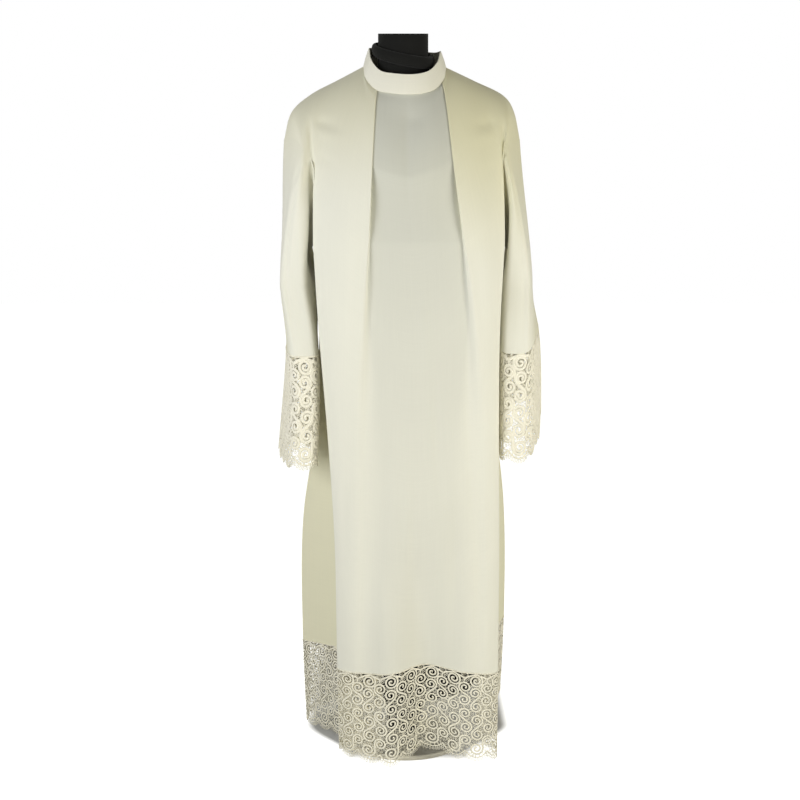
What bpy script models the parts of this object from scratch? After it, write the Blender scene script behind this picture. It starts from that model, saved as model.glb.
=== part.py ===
"""An alb with guipure lace at hem and cuffs, on a full-length limbless dress form.

Metres, +Z up, the front faces -Y and the origin is at the centre of the base's underside.
Left and right are the viewer's, so left is -X.

Every piece of cloth is a grid of points: its rows run across the cloth and its columns run
down it. The body is cut as a front and a back. Down to the underarm each column swings from
the shoulder or neck seam to the underarm level, and below that it follows the plan tables.
The sleeves start on the armholes that the two panels leave, and the lace goes on downwards
from the lowest row of the piece that it is sewn to.
"""

import math

import bmesh
import bpy
import numpy as np
from mathutils.geometry import tessellate_polygon

# Walls and seams
CLOTH_WALL = 0.0012
COLLAR_WALL = 0.0024
LACE_WALL = 0.0015
SEAM_INSET = 0.0006  # how far a panel ends from the seam line, along the cloth
LACE_GAP = 0.0006
SLEEVE_INSET = 0.0022  # at the underarm a sleeve and the body both hang down from one seam

# Levels
UNDERARM_Z = 1.09
HEM_Z = 0.212  # nominal level of the seam where the lace is sewn on
SLEEVE_FREE_Z = 1.00  # below this a sleeve follows its section table

# Top edges of the panels, (x, y, z). A shoulder runs from the top of the armhole to the neck.
SHOULDER_LEFT = (
    (-0.255, 0.000, 1.305),
    (-0.239, 0.002, 1.362),
    (-0.198, 0.004, 1.399),
    (-0.143, 0.007, 1.428),
    (-0.088, 0.010, 1.457),
)
SHOULDER_RIGHT = (
    (0.239, 0.000, 1.305),
    (0.226, 0.002, 1.364),
    (0.202, 0.004, 1.398),
    (0.143, 0.007, 1.427),
    (0.084, 0.010, 1.455),
)
NECK_FRONT = (
    (-0.088, 0.010, 1.457),
    (-0.083, -0.034, 1.428),
    (-0.062, -0.060, 1.4030),
    (-0.030, -0.075, 1.3945),
    (0.004, -0.081, 1.3915),
    (0.034, -0.077, 1.3940),
    (0.059, -0.063, 1.4035),
    (0.078, -0.036, 1.426),
    (0.084, 0.010, 1.455),
)
NECK_BACK = (
    (0.084, 0.010, 1.455),
    (0.060, 0.052, 1.462),
    (-0.002, 0.068, 1.4665),
    (-0.063, 0.052, 1.463),
    (-0.088, 0.010, 1.457),
)

# Position across a panel: 0 at one side seam, 8 at the other, with the neck from 3.3 to 4.7.
ACROSS = 8
NECK_START = 3.3
NECK_END = ACROSS - NECK_START
PANEL_START = 2.0  # below the underarm the columns from the shoulders end at the panel's edges

# Plan of the front, a row for each level: (x, y) of the left seam, the valley beside it, the
# panel's left edge, its left part, the centre, and the same four on the right, from left to right.
FRONT_PLAN = {
    1.09: ((-0.190, 0.010), (-0.171, -0.070), (-0.187, -0.117), (-0.118, -0.156), (0.005, -0.166),
           (0.128, -0.156), (0.199, -0.117), (0.184, -0.070), (0.202, 0.010)),
    0.92: ((-0.182, 0.045), (-0.152, -0.070), (-0.177, -0.130), (-0.110, -0.163), (0.005, -0.172),
           (0.125, -0.163), (0.191, -0.130), (0.167, -0.070), (0.190, 0.045)),
    0.70: ((-0.196, 0.072), (-0.126, -0.068), (-0.160, -0.140), (-0.100, -0.169), (0.005, -0.178),
           (0.125, -0.169), (0.190, -0.140), (0.158, -0.068), (0.196, 0.072)),
    0.50: ((-0.225, 0.065), (-0.118, -0.078), (-0.147, -0.148), (-0.075, -0.179), (0.018, -0.180),
           (0.120, -0.176), (0.192, -0.148), (0.157, -0.078), (0.216, 0.065)),
    0.23: ((-0.229, 0.062), (-0.108, -0.090), (-0.141, -0.160), (-0.042, -0.199), (0.040, -0.165),
           (0.112, -0.185), (0.191, -0.158), (0.153, -0.090), (0.220, 0.062)),
    0.00: ((-0.221, 0.062), (-0.106, -0.095), (-0.137, -0.165), (-0.036, -0.205), (0.042, -0.154),
           (0.112, -0.191), (0.190, -0.163), (0.152, -0.095), (0.212, 0.062)),
}

# Plan of the back: (x, y) of the right seam, the flank, a rise, a dip, the spine, and the same
# four on the left, from right to left.
BACK_PLAN = {
    1.09: ((0.202, 0.010), (0.186, 0.082), (0.130, 0.124), (0.060, 0.126), (0.000, 0.134),
           (-0.060, 0.127), (-0.122, 0.124), (-0.174, 0.082), (-0.190, 0.010)),
    0.92: ((0.190, 0.045), (0.184, 0.104), (0.132, 0.140), (0.062, 0.128), (0.000, 0.150),
           (-0.062, 0.130), (-0.126, 0.141), (-0.178, 0.104), (-0.182, 0.045)),
    0.70: ((0.196, 0.072), (0.190, 0.128), (0.134, 0.160), (0.064, 0.136), (0.000, 0.166),
           (-0.064, 0.138), (-0.134, 0.161), (-0.192, 0.128), (-0.196, 0.072)),
    0.50: ((0.216, 0.065), (0.200, 0.136), (0.135, 0.174), (0.066, 0.142), (0.000, 0.176),
           (-0.066, 0.144), (-0.140, 0.176), (-0.208, 0.136), (-0.225, 0.065)),
    0.23: ((0.220, 0.062), (0.206, 0.140), (0.138, 0.188), (0.069, 0.148), (0.000, 0.188),
           (-0.069, 0.150), (-0.144, 0.190), (-0.214, 0.140), (-0.229, 0.062)),
    0.00: ((0.212, 0.062), (0.204, 0.142), (0.140, 0.192), (0.070, 0.150), (0.000, 0.192),
           (-0.070, 0.152), (-0.146, 0.194), (-0.210, 0.142), (-0.221, 0.062)),
}

# Height of the hem seam and of the lace's tips, by the place across
FRONT_HEM = {
    0: (0.208, 0.013),
    1: (0.226, 0.028),
    2: (0.213, 0.034),
    3: (0.212, 0.016),
    4: (0.223, 0.036),
    5: (0.212, 0.024),
    6: (0.206, 0.021),
    7: (0.229, 0.050),
    8: (0.262, 0.083),
}
BACK_HEM = {
    0: (0.262, 0.083),
    2: (0.240, 0.055),
    4: (0.225, 0.035),
    6: (0.215, 0.020),
    8: (0.208, 0.013),
}

# How a column leaves its top seam and arrives at the underarm level, by its place across.
# The left half is given, and the right half mirrors it.
FRONT_SWING = {  # across: (leaving x, y, z), (arriving x, y, z)
    0.0: ((0.17, -0.44, 0.06), (0.00, 0.40, -0.38)),
    1.0: ((0.05, -0.36, -0.06), (0.00, 0.14, -0.36)),
    2.0: ((0.00, -0.30, -0.10), (0.00, 0.00, -0.35)),
    3.3: ((0.00, -0.28, -0.12), (0.00, 0.00, -0.35)),
    4.0: ((0.00, -0.14, -0.25), (0.00, 0.00, -0.32)),
}
BACK_SWING = {
    0.0: ((-0.08, 0.42, 0.03), (0.00, -0.36, -0.38)),
    1.0: ((-0.02, 0.34, -0.06), (0.00, -0.12, -0.36)),
    2.0: ((0.00, 0.28, -0.08), (0.00, 0.00, -0.36)),
    3.3: ((0.00, 0.24, -0.13), (0.00, 0.00, -0.36)),
    4.0: ((0.00, 0.20, -0.17), (0.00, 0.00, -0.36)),
}

# The inverted pleat of the front: its two folds, pressed at the neck and opening downwards.
# height: x of the fold's edge, turn in degrees, bend radius, width of the layer turned under
PLEAT_LEFT = {
    1.42: (-0.058, 178, 0.0016, 0.024),
    1.22: (-0.068, 176, 0.0017, 0.022),
    1.09: (-0.074, 168, 0.0020, 0.018),
    0.92: (-0.083, 120, 0.0030, 0.007),
    0.70: (-0.090, 62, 0.0070, 0.004),
    0.50: (-0.094, 38, 0.0100, 0.003),
    0.23: (-0.098, 20, 0.0120, 0.002),
    0.00: (-0.100, 18, 0.0120, 0.002),
}
PLEAT_RIGHT = {
    1.42: (0.071, 178, 0.0016, 0.024),
    1.22: (0.095, 176, 0.0017, 0.022),
    1.09: (0.116, 172, 0.0018, 0.020),
    0.92: (0.136, 140, 0.0026, 0.011),
    0.70: (0.143, 95, 0.0040, 0.006),
    0.50: (0.151, 62, 0.0060, 0.005),
    0.23: (0.158, 40, 0.0080, 0.004),
    0.00: (0.160, 36, 0.0080, 0.004),
}

# Sleeves. height: middle x, middle y, half width, half depth, turn in degrees
SLEEVE_LEFT = {
    1.00: (-0.2265, -0.005, 0.032, 0.100, -4),
    0.86: (-0.221, -0.025, 0.031, 0.103, 6),
    0.60: (-0.2320, -0.040, 0.032, 0.103, 14),
}
SLEEVE_RIGHT = {
    1.00: (0.234, -0.005, 0.033, 0.100, 3),
    0.86: (0.2430, -0.028, 0.034, 0.103, 11),
    0.60: (0.2460, -0.046, 0.034, 0.101, 15),
}
SLEEVE_SQUARENESS = 0.68
# How a sleeve leaves the armhole: (at the top of the hole, more by the underarm); x is outwards
SLEEVE_LEAVE_X = (0.02, 0.10)
SLEEVE_LEAVE_Y = -0.10  # at the front of the hole, and the same backwards behind
SLEEVE_LEAVE_Z = (-0.30, 0.22)
SLEEVE_ARRIVE_Z = (-0.26, 0.16)
CUFF_LEFT_Z = (0.859, 0.872)  # height of the cuff's seam at its front and at its back
CUFF_RIGHT_Z = (0.867, 0.929)

# Collar: a band whose two ends lap over each other at the back right
COLLAR_LIFT = 0.0020  # clear of the neck seam
COLLAR_HEIGHT = (0.0415, 0.0385, 0.0385)  # at the front, the sides and the back
COLLAR_CORNER_DROP = 0.009  # how much lower it is at the back right
COLLAR_LEAN = (0.0130, 0.0125, 0.0070)  # how far the top edge lies in
COLLAR_LAP = 0.10  # of the way round
COLLAR_LAP_STEP = 0.0045  # how far the outer end stands off the inner one
COLLAR_START = 0.0625  # where the outer end lies, as a share of the way round from the right

# Lace: one repeat, flat, as (across, down) from the middle of its top edge
LACE_PITCH = 0.048
HEM_DROP = 0.190
CUFF_LEFT_DROP = (0.235, 0.224)  # at the front and the back of the cuff
CUFF_RIGHT_DROP = (0.2275, 0.1880)
CUFF_STEP = (0.50, 0.66)  # between these shares of the way to the back one gives way to the other
SCALLOP_DEPTH = 0.020
SCALLOP_SHOULDER = 0.35  # share of the scallop's depth left at a quarter of the repeat
WELD = 0.00005
GAPS = {  # name: across, share of the drop, half width, half height
    "under_edge": (0.000, 0.065, 0.0075, 0.0060),
    "upper": (-0.0125, 0.310, 0.0070, 0.0095),
    "lower": (0.0125, 0.560, 0.0070, 0.0095),
    "scallop": (-0.0105, 0.800, 0.0070, 0.0095),
}

# Dress form and stand
FORM_SECTIONS = {  # height: half width, half depth, middle x, middle y
    1.522: (0.0525, 0.0490, -0.0055, -0.006),
    1.454: (0.0525, 0.0490, -0.0055, -0.006),
    1.444: (0.0560, 0.0480, -0.005, -0.002),
    1.435: (0.0650, 0.0450, -0.004, 0.002),
    1.423: (0.0820, 0.0420, -0.003, 0.005),
    1.410: (0.1320, 0.0440, -0.003, 0.005),
    1.397: (0.1700, 0.0530, -0.003, 0.003),
    1.374: (0.1830, 0.0620, -0.003, 0.002),
    1.320: (0.1850, 0.0820, -0.003, 0.000),
    1.240: (0.1740, 0.1020, -0.003, -0.002),
    1.140: (0.1560, 0.1040, -0.003, -0.002),
    1.040: (0.1400, 0.0960, -0.003, 0.000),
    0.940: (0.1400, 0.0980, -0.003, 0.002),
    0.850: (0.1460, 0.1040, -0.003, 0.003),
    0.760: (0.1440, 0.1030, 0.000, 0.003),
    0.500: (0.1330, 0.0940, 0.010, 0.000),
    0.220: (0.1310, 0.0920, 0.024, 0.000),
    0.145: (0.1300, 0.0910, 0.025, 0.000),
    0.122: (0.1240, 0.0860, 0.023, 0.000),
    0.111: (0.0980, 0.0680, 0.014, 0.000),
    0.104: (0.0480, 0.0440, 0.000, 0.000),
    0.085: (0.0380, 0.0380, -0.004, 0.000),
    0.0103: (0.0380, 0.0380, -0.004, 0.000),
}
NECK_TOP_Z = 1.522
NECK_TOP_SLOPE = 0.15  # the cut across the neck falls towards the front
FORM_SEGMENTS = 28
FORM_SQUARENESS = 0.92
ROLL_Z = 1.477
ROLL_RISE = (-0.20, 0.28)  # how much it rises to the right and to the back, metre for metre
ROLL_PROFILE = (  # (stands off the neck, above the roll's middle)
    (0.0010, -0.0110),
    (0.0060, -0.0130),
    (0.0115, -0.0085),
    (0.0142, 0.0010),
    (0.0125, 0.0095),
    (0.0070, 0.0140),
    (0.0010, 0.0120),
)
BASE_RADIUS = 0.125
BASE_THICKNESS = 0.010
BASE_EDGE = 0.003  # its rounding

# Fineness
UPPER_ROWS = 8
SKIRT_ROWS = 8
SHOULDER_COLUMNS = 8
BACK_NECK_COLUMNS = 6
SLEEVE_TOP_ROWS = 5
SLEEVE_ROWS = 4
LACE_ROWS = 5
BEND_STEPS = 4
FLAT_STEPS = 2  # between a shoulder's last column and the fold
PANEL_STEPS = 8  # across the sunk panel between the folds
COLLAR_BACK_STEPS = 14
COLLAR_FRONT_STEPS = 20
COLLAR_COLUMNS = 42
COLLAR_ROWS = 4
BASE_SEGMENTS = 40
DENSE = 161


def new_collection(name):
    collection = bpy.data.collections.new(name)
    bpy.context.scene.collection.children.link(collection)
    return collection


def material(name, colour, roughness, metallic=0.0):
    made = bpy.data.materials.new(name)
    made.use_nodes = True
    shader = made.node_tree.nodes["Principled BSDF"]
    shader.inputs["Base Color"].default_value = (*colour, 1.0)
    shader.inputs["Roughness"].default_value = roughness
    shader.inputs["Metallic"].default_value = metallic
    return made


def hermite(t, start, leave, end, arrive):
    """The point at t of a cubic from start to end with the given directions."""
    t2, t3 = t * t, t * t * t
    return (
        (2 * t3 - 3 * t2 + 1) * start
        + (t3 - 2 * t2 + t) * leave
        + (3 * t2 - 2 * t3) * end
        + (t3 - t2) * arrive
    )


def smooth(knots, values, at):
    """Points at `at` on a smooth curve through the values at the rising knots."""
    knots = np.asarray(knots, float)
    values = np.asarray(values, float)
    at = np.atleast_1d(np.asarray(at, float))
    slopes = np.gradient(values, knots, axis=0)
    i = np.clip(np.searchsorted(knots, at, side="right") - 1, 0, len(knots) - 2)
    shape = (len(at),) + (1,) * (values.ndim - 1)
    width = (knots[i + 1] - knots[i]).reshape(shape)
    t = (at - knots[i]).reshape(shape) / width
    return hermite(t, values[i], slopes[i] * width, values[i + 1], slopes[i + 1] * width)


def level(table, z):
    """The row of a table keyed by height, at height z."""
    heights = sorted(table)
    z = min(max(z, heights[0]), heights[-1])
    return smooth(heights, [table[h] for h in heights], z)[0]


def plan(table, across, z):
    """(x, y) of a panel's plan at the places `across`, on one level."""
    return smooth(range(ACROSS + 1), level(table, z), across)


def edge(points, t):
    return smooth(np.linspace(0, 1, len(points)), points, t)


def top_edge(first_shoulder, neck, last_shoulder, across):
    """A panel's shoulder, neck and shoulder seams as one line."""
    before = edge(first_shoulder, np.minimum(across / NECK_START, 1))
    inside = edge(neck, np.clip((across - NECK_START) / (NECK_END - NECK_START), 0, 1))
    after = edge(last_shoulder, np.minimum((ACROSS - across) / NECK_START, 1))
    across = across[:, None]
    return np.where(across < NECK_START, before, np.where(across > NECK_END, after, inside))


def swing(table, across, which):
    """Leaving (0) or arriving (1) directions; x turns round at the middle of the panel."""
    knots = sorted(table)
    folded = np.minimum(across, ACROSS - across)
    directions = smooth(knots, [table[k][which] for k in knots], folded)
    directions[:, 0] *= np.where(across < ACROSS / 2, 1, -1)
    return directions


def with_height(xy, z):
    return np.column_stack([xy, np.broadcast_to(z, len(xy))])


def hem_heights(panel, across):
    """Heights of the hem seam and of the lace's tips along a panel."""
    table = FRONT_HEM if panel == "front" else BACK_HEM
    return smooth(sorted(table), [table[k] for k in sorted(table)], across).T


def body_rows(panel, across, upper, lower, below):
    """Rows of a panel's plain surface: upper and lower are shares of the way, below is metres."""
    if panel == "front":
        table, directions = FRONT_PLAN, FRONT_SWING
        top = top_edge(SHOULDER_LEFT, NECK_FRONT, SHOULDER_RIGHT, across)
    else:
        table, directions = BACK_PLAN, BACK_SWING
        top = top_edge(SHOULDER_RIGHT, NECK_BACK, SHOULDER_LEFT, across)
    underarm = with_height(plan(table, across, UNDERARM_Z), UNDERARM_Z)
    leave = swing(directions, across, 0)
    arrive = swing(directions, across, 1)
    rows = [hermite(t, top, leave, underarm, arrive) for t in upper]
    seam, tips = hem_heights(panel, across)
    for t in lower:
        xy = plan(table, across, UNDERARM_Z + (HEM_Z - UNDERARM_Z) * t)
        rows.append(with_height(xy, UNDERARM_Z + (seam - UNDERARM_Z) * t))
    for drop in below:
        height = seam + (tips - seam) * drop / HEM_DROP
        rows.append(with_height(plan(table, across, HEM_Z - drop), height))
    return np.array(rows)


def inward(rows):
    """Unit normals of a grid of rows that run left to right, level along the top seam."""
    normal = np.cross(np.gradient(rows, axis=1), np.gradient(rows, axis=0))
    normal[0, :, 2] = 0
    return normal / np.linalg.norm(normal, axis=2, keepdims=True)


def fold_path(turn, radius, under):
    """(along, inset) of a fold: round its edge, under and back, and on its way again."""
    bend = np.linspace(0, turn, BEND_STEPS + 1)
    first = radius * np.column_stack([np.sin(bend), 1 - np.cos(bend)])
    start = first[-1] + under * np.array([math.cos(turn), math.sin(turn)])
    back = bend[::-1]
    second = start + radius * np.column_stack(
        [math.sin(turn) - np.sin(back), np.cos(back) - math.cos(turn)]
    )
    return np.concatenate([first, second])


def fold_at(table, points, lengths, toward):
    """(along, inset) points of one fold on a row. toward is 1 for the left fold, -1 for the right."""
    middle = len(points) // 2
    z = points[middle, 2]
    edge_x, turn, radius, under = level(table, z)
    turn = math.radians(turn)
    path = fold_path(turn, radius, under)
    front = slice(DENSE // 4, DENSE - DENSE // 4)
    edge_along = np.interp(edge_x, points[front, 0], lengths[front])
    start = edge_along - toward * radius * math.sin(min(turn, math.pi / 2))
    path[:, 0] = start + toward * path[:, 0]
    return path[::toward]


def front_columns(rows):
    """The front's final columns: shoulders, flat panels and the folds of the pleat."""
    across = np.linspace(0, ACROSS, DENSE)
    grid = []
    for i, (points, normal) in enumerate(zip(rows, inward(rows))):
        lowered = min(i / UPPER_ROWS, 1)
        reach = NECK_START + (PANEL_START - NECK_START) * lowered
        shoulder = np.linspace(0, reach, SHOULDER_COLUMNS + 1)
        steps = np.linalg.norm(np.diff(points, axis=0), axis=1)
        lengths = np.concatenate([[0], np.cumsum(steps)])
        left = fold_at(PLEAT_LEFT, points, lengths, 1)
        right = fold_at(PLEAT_RIGHT, points, lengths, -1)
        first = np.interp(shoulder, across, lengths)
        last = np.interp(ACROSS - shoulder[::-1], across, lengths)
        flat_left = np.linspace(first[-1], left[0, 0], FLAT_STEPS + 1)[1:-1]
        flat_right = np.linspace(right[-1, 0], last[0], FLAT_STEPS + 1)[1:-1]
        share = np.linspace(0, 1, PANEL_STEPS + 1)[1:-1, None]
        middle = left[-1] + (right[0] - left[-1]) * share
        plain = [np.column_stack([a, 0 * a]) for a in (first, flat_left, flat_right, last)]
        path = np.concatenate([plain[0], plain[1], left, middle, right, plain[2], plain[3]])
        at = [np.interp(path[:, 0], lengths, points[:, k]) for k in range(3)]
        way = [np.interp(path[:, 0], lengths, normal[:, k]) for k in range(3)]
        grid.append(np.column_stack(at) + path[:, 1:] * np.column_stack(way))
    return np.array(grid)


def back_columns(rows):
    across = np.linspace(0, ACROSS, DENSE)
    shoulder = np.linspace(0, NECK_START, SHOULDER_COLUMNS + 1)
    neck = np.linspace(NECK_START, NECK_END, BACK_NECK_COLUMNS + 1)[1:-1]
    chosen = np.concatenate([shoulder, neck, ACROSS - shoulder[::-1]])
    return np.array(
        [np.column_stack([np.interp(chosen, across, row[:, k]) for k in range(3)]) for row in rows]
    )


def body_grid(panel):
    """(cloth, lace) grids of one panel."""
    across = np.linspace(0, ACROSS, DENSE)
    upper = np.linspace(0, 1, UPPER_ROWS + 1)
    lower = np.linspace(0, 1, SKIRT_ROWS + 1)[1:]
    below = np.linspace(LACE_GAP, HEM_DROP, LACE_ROWS)
    rows = body_rows(panel, across, upper, lower, below)
    grid = front_columns(rows) if panel == "front" else back_columns(rows)
    cloth = len(upper) + len(lower)
    return grid[:cloth], grid[cloth:]


def shortened(grid, top=0.0, bottom=0.0, first=0.0, last=0.0):
    """The grid with its edges drawn in along the cloth."""
    grid = grid.copy()

    def draw_in(line, neighbour, distance):
        way = neighbour - line
        line += way / np.linalg.norm(way, axis=1, keepdims=True) * distance

    draw_in(grid[0], grid[1].copy(), top)
    draw_in(grid[-1], grid[-2].copy(), bottom)
    draw_in(grid[:, 0], grid[:, 1].copy(), first)
    draw_in(grid[:, -1], grid[:, -2].copy(), last)
    return grid


def mesh_object(name, points, faces, collection, finish):
    mesh = bpy.data.meshes.new(name)
    mesh.from_pydata([tuple(map(float, p)) for p in points], [], faces)
    mesh.materials.append(finish)
    obj = bpy.data.objects.new(name, mesh)
    collection.objects.link(obj)
    return obj


def grid_faces(rows, columns, closed):
    wrap = columns if closed else columns - 1
    return [
        (
            r * columns + c,
            (r + 1) * columns + c,
            (r + 1) * columns + (c + 1) % columns,
            r * columns + (c + 1) % columns,
        )
        for r in range(rows - 1)
        for c in range(wrap)
    ]


def thicken(obj, wall):
    solidify = obj.modifiers.new("wall", "SOLIDIFY")
    solidify.thickness = wall
    solidify.offset = 0


def cloth(name, grid, collection, finish, wall=CLOTH_WALL, closed=False):
    """A wall of cloth through the grid's points."""
    rows, columns = grid.shape[:2]
    faces = grid_faces(rows, columns, closed)
    obj = mesh_object(name, grid.reshape(-1, 3), faces, collection, finish)
    obj.data.shade_smooth()
    thicken(obj, wall)
    return obj


def sleeve_ring(table, side, z, columns):
    """A sleeve's section: it starts at the outer side and goes round by the front."""
    middle_x, middle_y, half_width, half_depth, turn = level(table, z)
    turn = math.radians(turn)
    outward = np.array([side * math.cos(turn), -math.sin(turn)])
    forward = np.array([-side * math.sin(turn), -math.cos(turn)])
    angle = np.linspace(0, 2 * math.pi, columns, endpoint=False)
    out = np.sign(np.cos(angle)) * np.abs(np.cos(angle)) ** SLEEVE_SQUARENESS
    ahead = np.sign(np.sin(angle)) * np.abs(np.sin(angle)) ** SLEEVE_SQUARENESS
    xy = np.array([middle_x, middle_y]) + np.outer(out * half_width, outward)
    return with_height(xy + np.outer(ahead * half_depth, forward), z)


def sleeve_grid(armhole, table, side, cuff_z, drops):
    """(cloth, lace) grids of a sleeve that hangs from the closed line armhole."""
    columns = len(armhole)
    angle = np.linspace(0, 2 * math.pi, columns, endpoint=False)
    ahead = np.sin(angle)
    ring = sleeve_ring(table, side, SLEEVE_FREE_Z, columns)
    underarm = (1 - np.cos(angle)) / 2
    leave = np.column_stack([
        side * (SLEEVE_LEAVE_X[0] + SLEEVE_LEAVE_X[1] * underarm),
        SLEEVE_LEAVE_Y * ahead,
        SLEEVE_LEAVE_Z[0] + SLEEVE_LEAVE_Z[1] * underarm,
    ])
    arrive = np.zeros((columns, 3))
    arrive[:, 2] = SLEEVE_ARRIVE_Z[0] + SLEEVE_ARRIVE_Z[1] * underarm
    rows = [
        hermite(t, armhole, leave, ring, arrive) for t in np.linspace(0, 1, SLEEVE_TOP_ROWS + 1)
    ]
    behind = (1 - ahead) / 2
    front_z, back_z = cuff_z
    seam = front_z + (back_z - front_z) * behind
    for t in np.linspace(0, 1, SLEEVE_ROWS + 1)[1:]:
        row = sleeve_ring(table, side, SLEEVE_FREE_Z + (front_z - SLEEVE_FREE_Z) * t, columns)
        row[:, 2] = SLEEVE_FREE_Z + (seam - SLEEVE_FREE_Z) * t
        rows.append(row)
    front_drop, back_drop = drops
    step = np.clip((behind - CUFF_STEP[0]) / (CUFF_STEP[1] - CUFF_STEP[0]), 0, 1)
    shares = 1 + (back_drop / front_drop - 1) * step * step * (3 - 2 * step)
    lace = []
    for drop in np.linspace(LACE_GAP, front_drop, LACE_ROWS):
        row = sleeve_ring(table, side, front_z - drop, columns)
        row[:, 2] = seam - drop * shares
        lace.append(row)
    return np.array(rows), np.array(lace)


def lace_outline(drop):
    """One repeat's outline, from the top left corner downwards."""
    half = LACE_PITCH / 2
    cusp = drop - SCALLOP_DEPTH
    shoulder = drop - SCALLOP_DEPTH * SCALLOP_SHOULDER
    return [
        (-half, 0.0), (-half, cusp), (-half / 2, shoulder), (0.0, drop),
        (half / 2, shoulder), (half, cusp), (half, 0.0), (0.0, 0.0),
    ]


def lace_gaps(drop):
    """The repeat's gaps, each a kite."""
    kites = []
    for across, share, half_width, half_height in GAPS.values():
        down = share * drop
        kites.append([
            (across, down - half_height), (across + half_width, down),
            (across, down + half_height), (across - half_width, down),
        ])
    return kites


def lace_strip(name, grid, drop, collection, finish):
    """Lace along the top row of a grid whose rows go down to the given drop."""
    steps = np.linalg.norm(np.diff(grid[0], axis=0), axis=1)
    lengths = np.concatenate([[0], np.cumsum(steps)])
    room = lengths[-1] - 2 * SEAM_INSET
    repeats = round(room / LACE_PITCH)
    loops = [lace_outline(drop), *lace_gaps(drop)]
    flat = np.array([point for loop in loops for point in loop])
    triangles = tessellate_polygon([[(x, -y, 0) for x, y in loop] for loop in loops])
    columns = np.arange(grid.shape[1])
    row_at = flat[:, 1] / drop * (len(grid) - 1)
    upper = np.minimum(row_at.astype(int), len(grid) - 2)
    share = (row_at - upper)[:, None]
    mesh = bmesh.new()
    for i in range(repeats):
        along = SEAM_INSET + ((i + 0.5) * LACE_PITCH + flat[:, 0]) * room / (repeats * LACE_PITCH)
        place = np.interp(along, lengths, columns)
        column = np.minimum(place.astype(int), len(columns) - 2)
        part = (place - column)[:, None]
        high = grid[upper, column] * (1 - part) + grid[upper, column + 1] * part
        low = grid[upper + 1, column] * (1 - part) + grid[upper + 1, column + 1] * part
        corners = [mesh.verts.new(p) for p in high * (1 - share) + low * share]
        for triangle in triangles:
            mesh.faces.new([corners[k] for k in triangle])
    bmesh.ops.remove_doubles(mesh, verts=mesh.verts, dist=WELD)
    bmesh.ops.recalc_face_normals(mesh, faces=mesh.faces)
    data = bpy.data.meshes.new(name)
    mesh.to_mesh(data)
    mesh.free()
    data.materials.append(finish)
    obj = bpy.data.objects.new(name, data)
    collection.objects.link(obj)
    thicken(obj, LACE_WALL)
    return obj


def collar_grid():
    """The band's rows from its bottom up, along the neck seam from one lapped end to the other."""
    behind = edge(NECK_BACK, np.linspace(0, 1, COLLAR_BACK_STEPS + 1))
    before = edge(NECK_FRONT, np.linspace(0, 1, COLLAR_FRONT_STEPS + 1))
    closed = np.concatenate([behind[:-1], before])
    around = np.linspace(0, 1, len(closed))
    along = np.linspace(COLLAR_START, COLLAR_START + 1 + COLLAR_LAP, COLLAR_COLUMNS)
    line = np.column_stack([np.interp(along % 1, around, closed[:, k]) for k in range(3)])
    centre = closed[:, :2].mean(axis=0)
    out = line[:, :2] - centre
    out /= np.linalg.norm(out, axis=1, keepdims=True)
    stepped_out = np.clip(2 - (along - COLLAR_START) / COLLAR_LAP, 0, 1)
    line[:, :2] += out * (stepped_out * COLLAR_LAP_STEP)[:, None]
    front, side, back = (
        np.clip(-out[:, 1], 0, 1) ** 2,
        out[:, 0] ** 2,
        np.clip(out[:, 1], 0, 1) ** 2,
    )
    share = np.column_stack([front, side, back])
    corner = 2 * np.clip(out[:, 0], 0, 1) * np.clip(out[:, 1], 0, 1)
    height = share @ COLLAR_HEIGHT - COLLAR_CORNER_DROP * corner
    lean = share @ COLLAR_LEAN
    rows = []
    for t in np.linspace(0, 1, COLLAR_ROWS):
        row = line.copy()
        row[:, 2] += COLLAR_LIFT + height * t
        row[:, :2] -= out * (lean * t)[:, None]
        rows.append(row)
    return np.array(rows)


def squared_circle():
    """Unit section of the form, slightly squared, as (across, forward) points."""
    angle = np.linspace(0, 2 * math.pi, FORM_SEGMENTS, endpoint=False)
    across = np.sign(np.cos(angle)) * np.abs(np.cos(angle)) ** FORM_SQUARENESS
    along = np.sign(np.sin(angle)) * np.abs(np.sin(angle)) ** FORM_SQUARENESS
    return across, along


def outward(obj):
    """Turns a closed mesh's faces out and shades it smooth."""
    mesh = bmesh.new()
    mesh.from_mesh(obj.data)
    bmesh.ops.recalc_face_normals(mesh, faces=mesh.faces)
    mesh.to_mesh(obj.data)
    mesh.free()
    obj.data.shade_smooth()
    return obj


def form_torso(collection, finish):
    """The form's neck, trunk, lower body and round foot, which just clears the base: one loft."""
    across, along = squared_circle()
    points = []
    for z, (half_width, half_depth, middle_x, middle_y) in FORM_SECTIONS.items():
        for a, b in zip(across, along):
            y = middle_y - b * half_depth
            slope = NECK_TOP_SLOPE if z == NECK_TOP_Z else 0
            points.append((middle_x + a * half_width, y, z + slope * (y - middle_y)))
    rows = len(FORM_SECTIONS)
    faces = grid_faces(rows, FORM_SEGMENTS, True)
    faces.append(tuple(range(FORM_SEGMENTS)))
    faces.append(tuple(range(rows * FORM_SEGMENTS - 1, (rows - 1) * FORM_SEGMENTS - 1, -1)))
    return outward(mesh_object("form_torso", points, faces, collection, finish))


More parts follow.
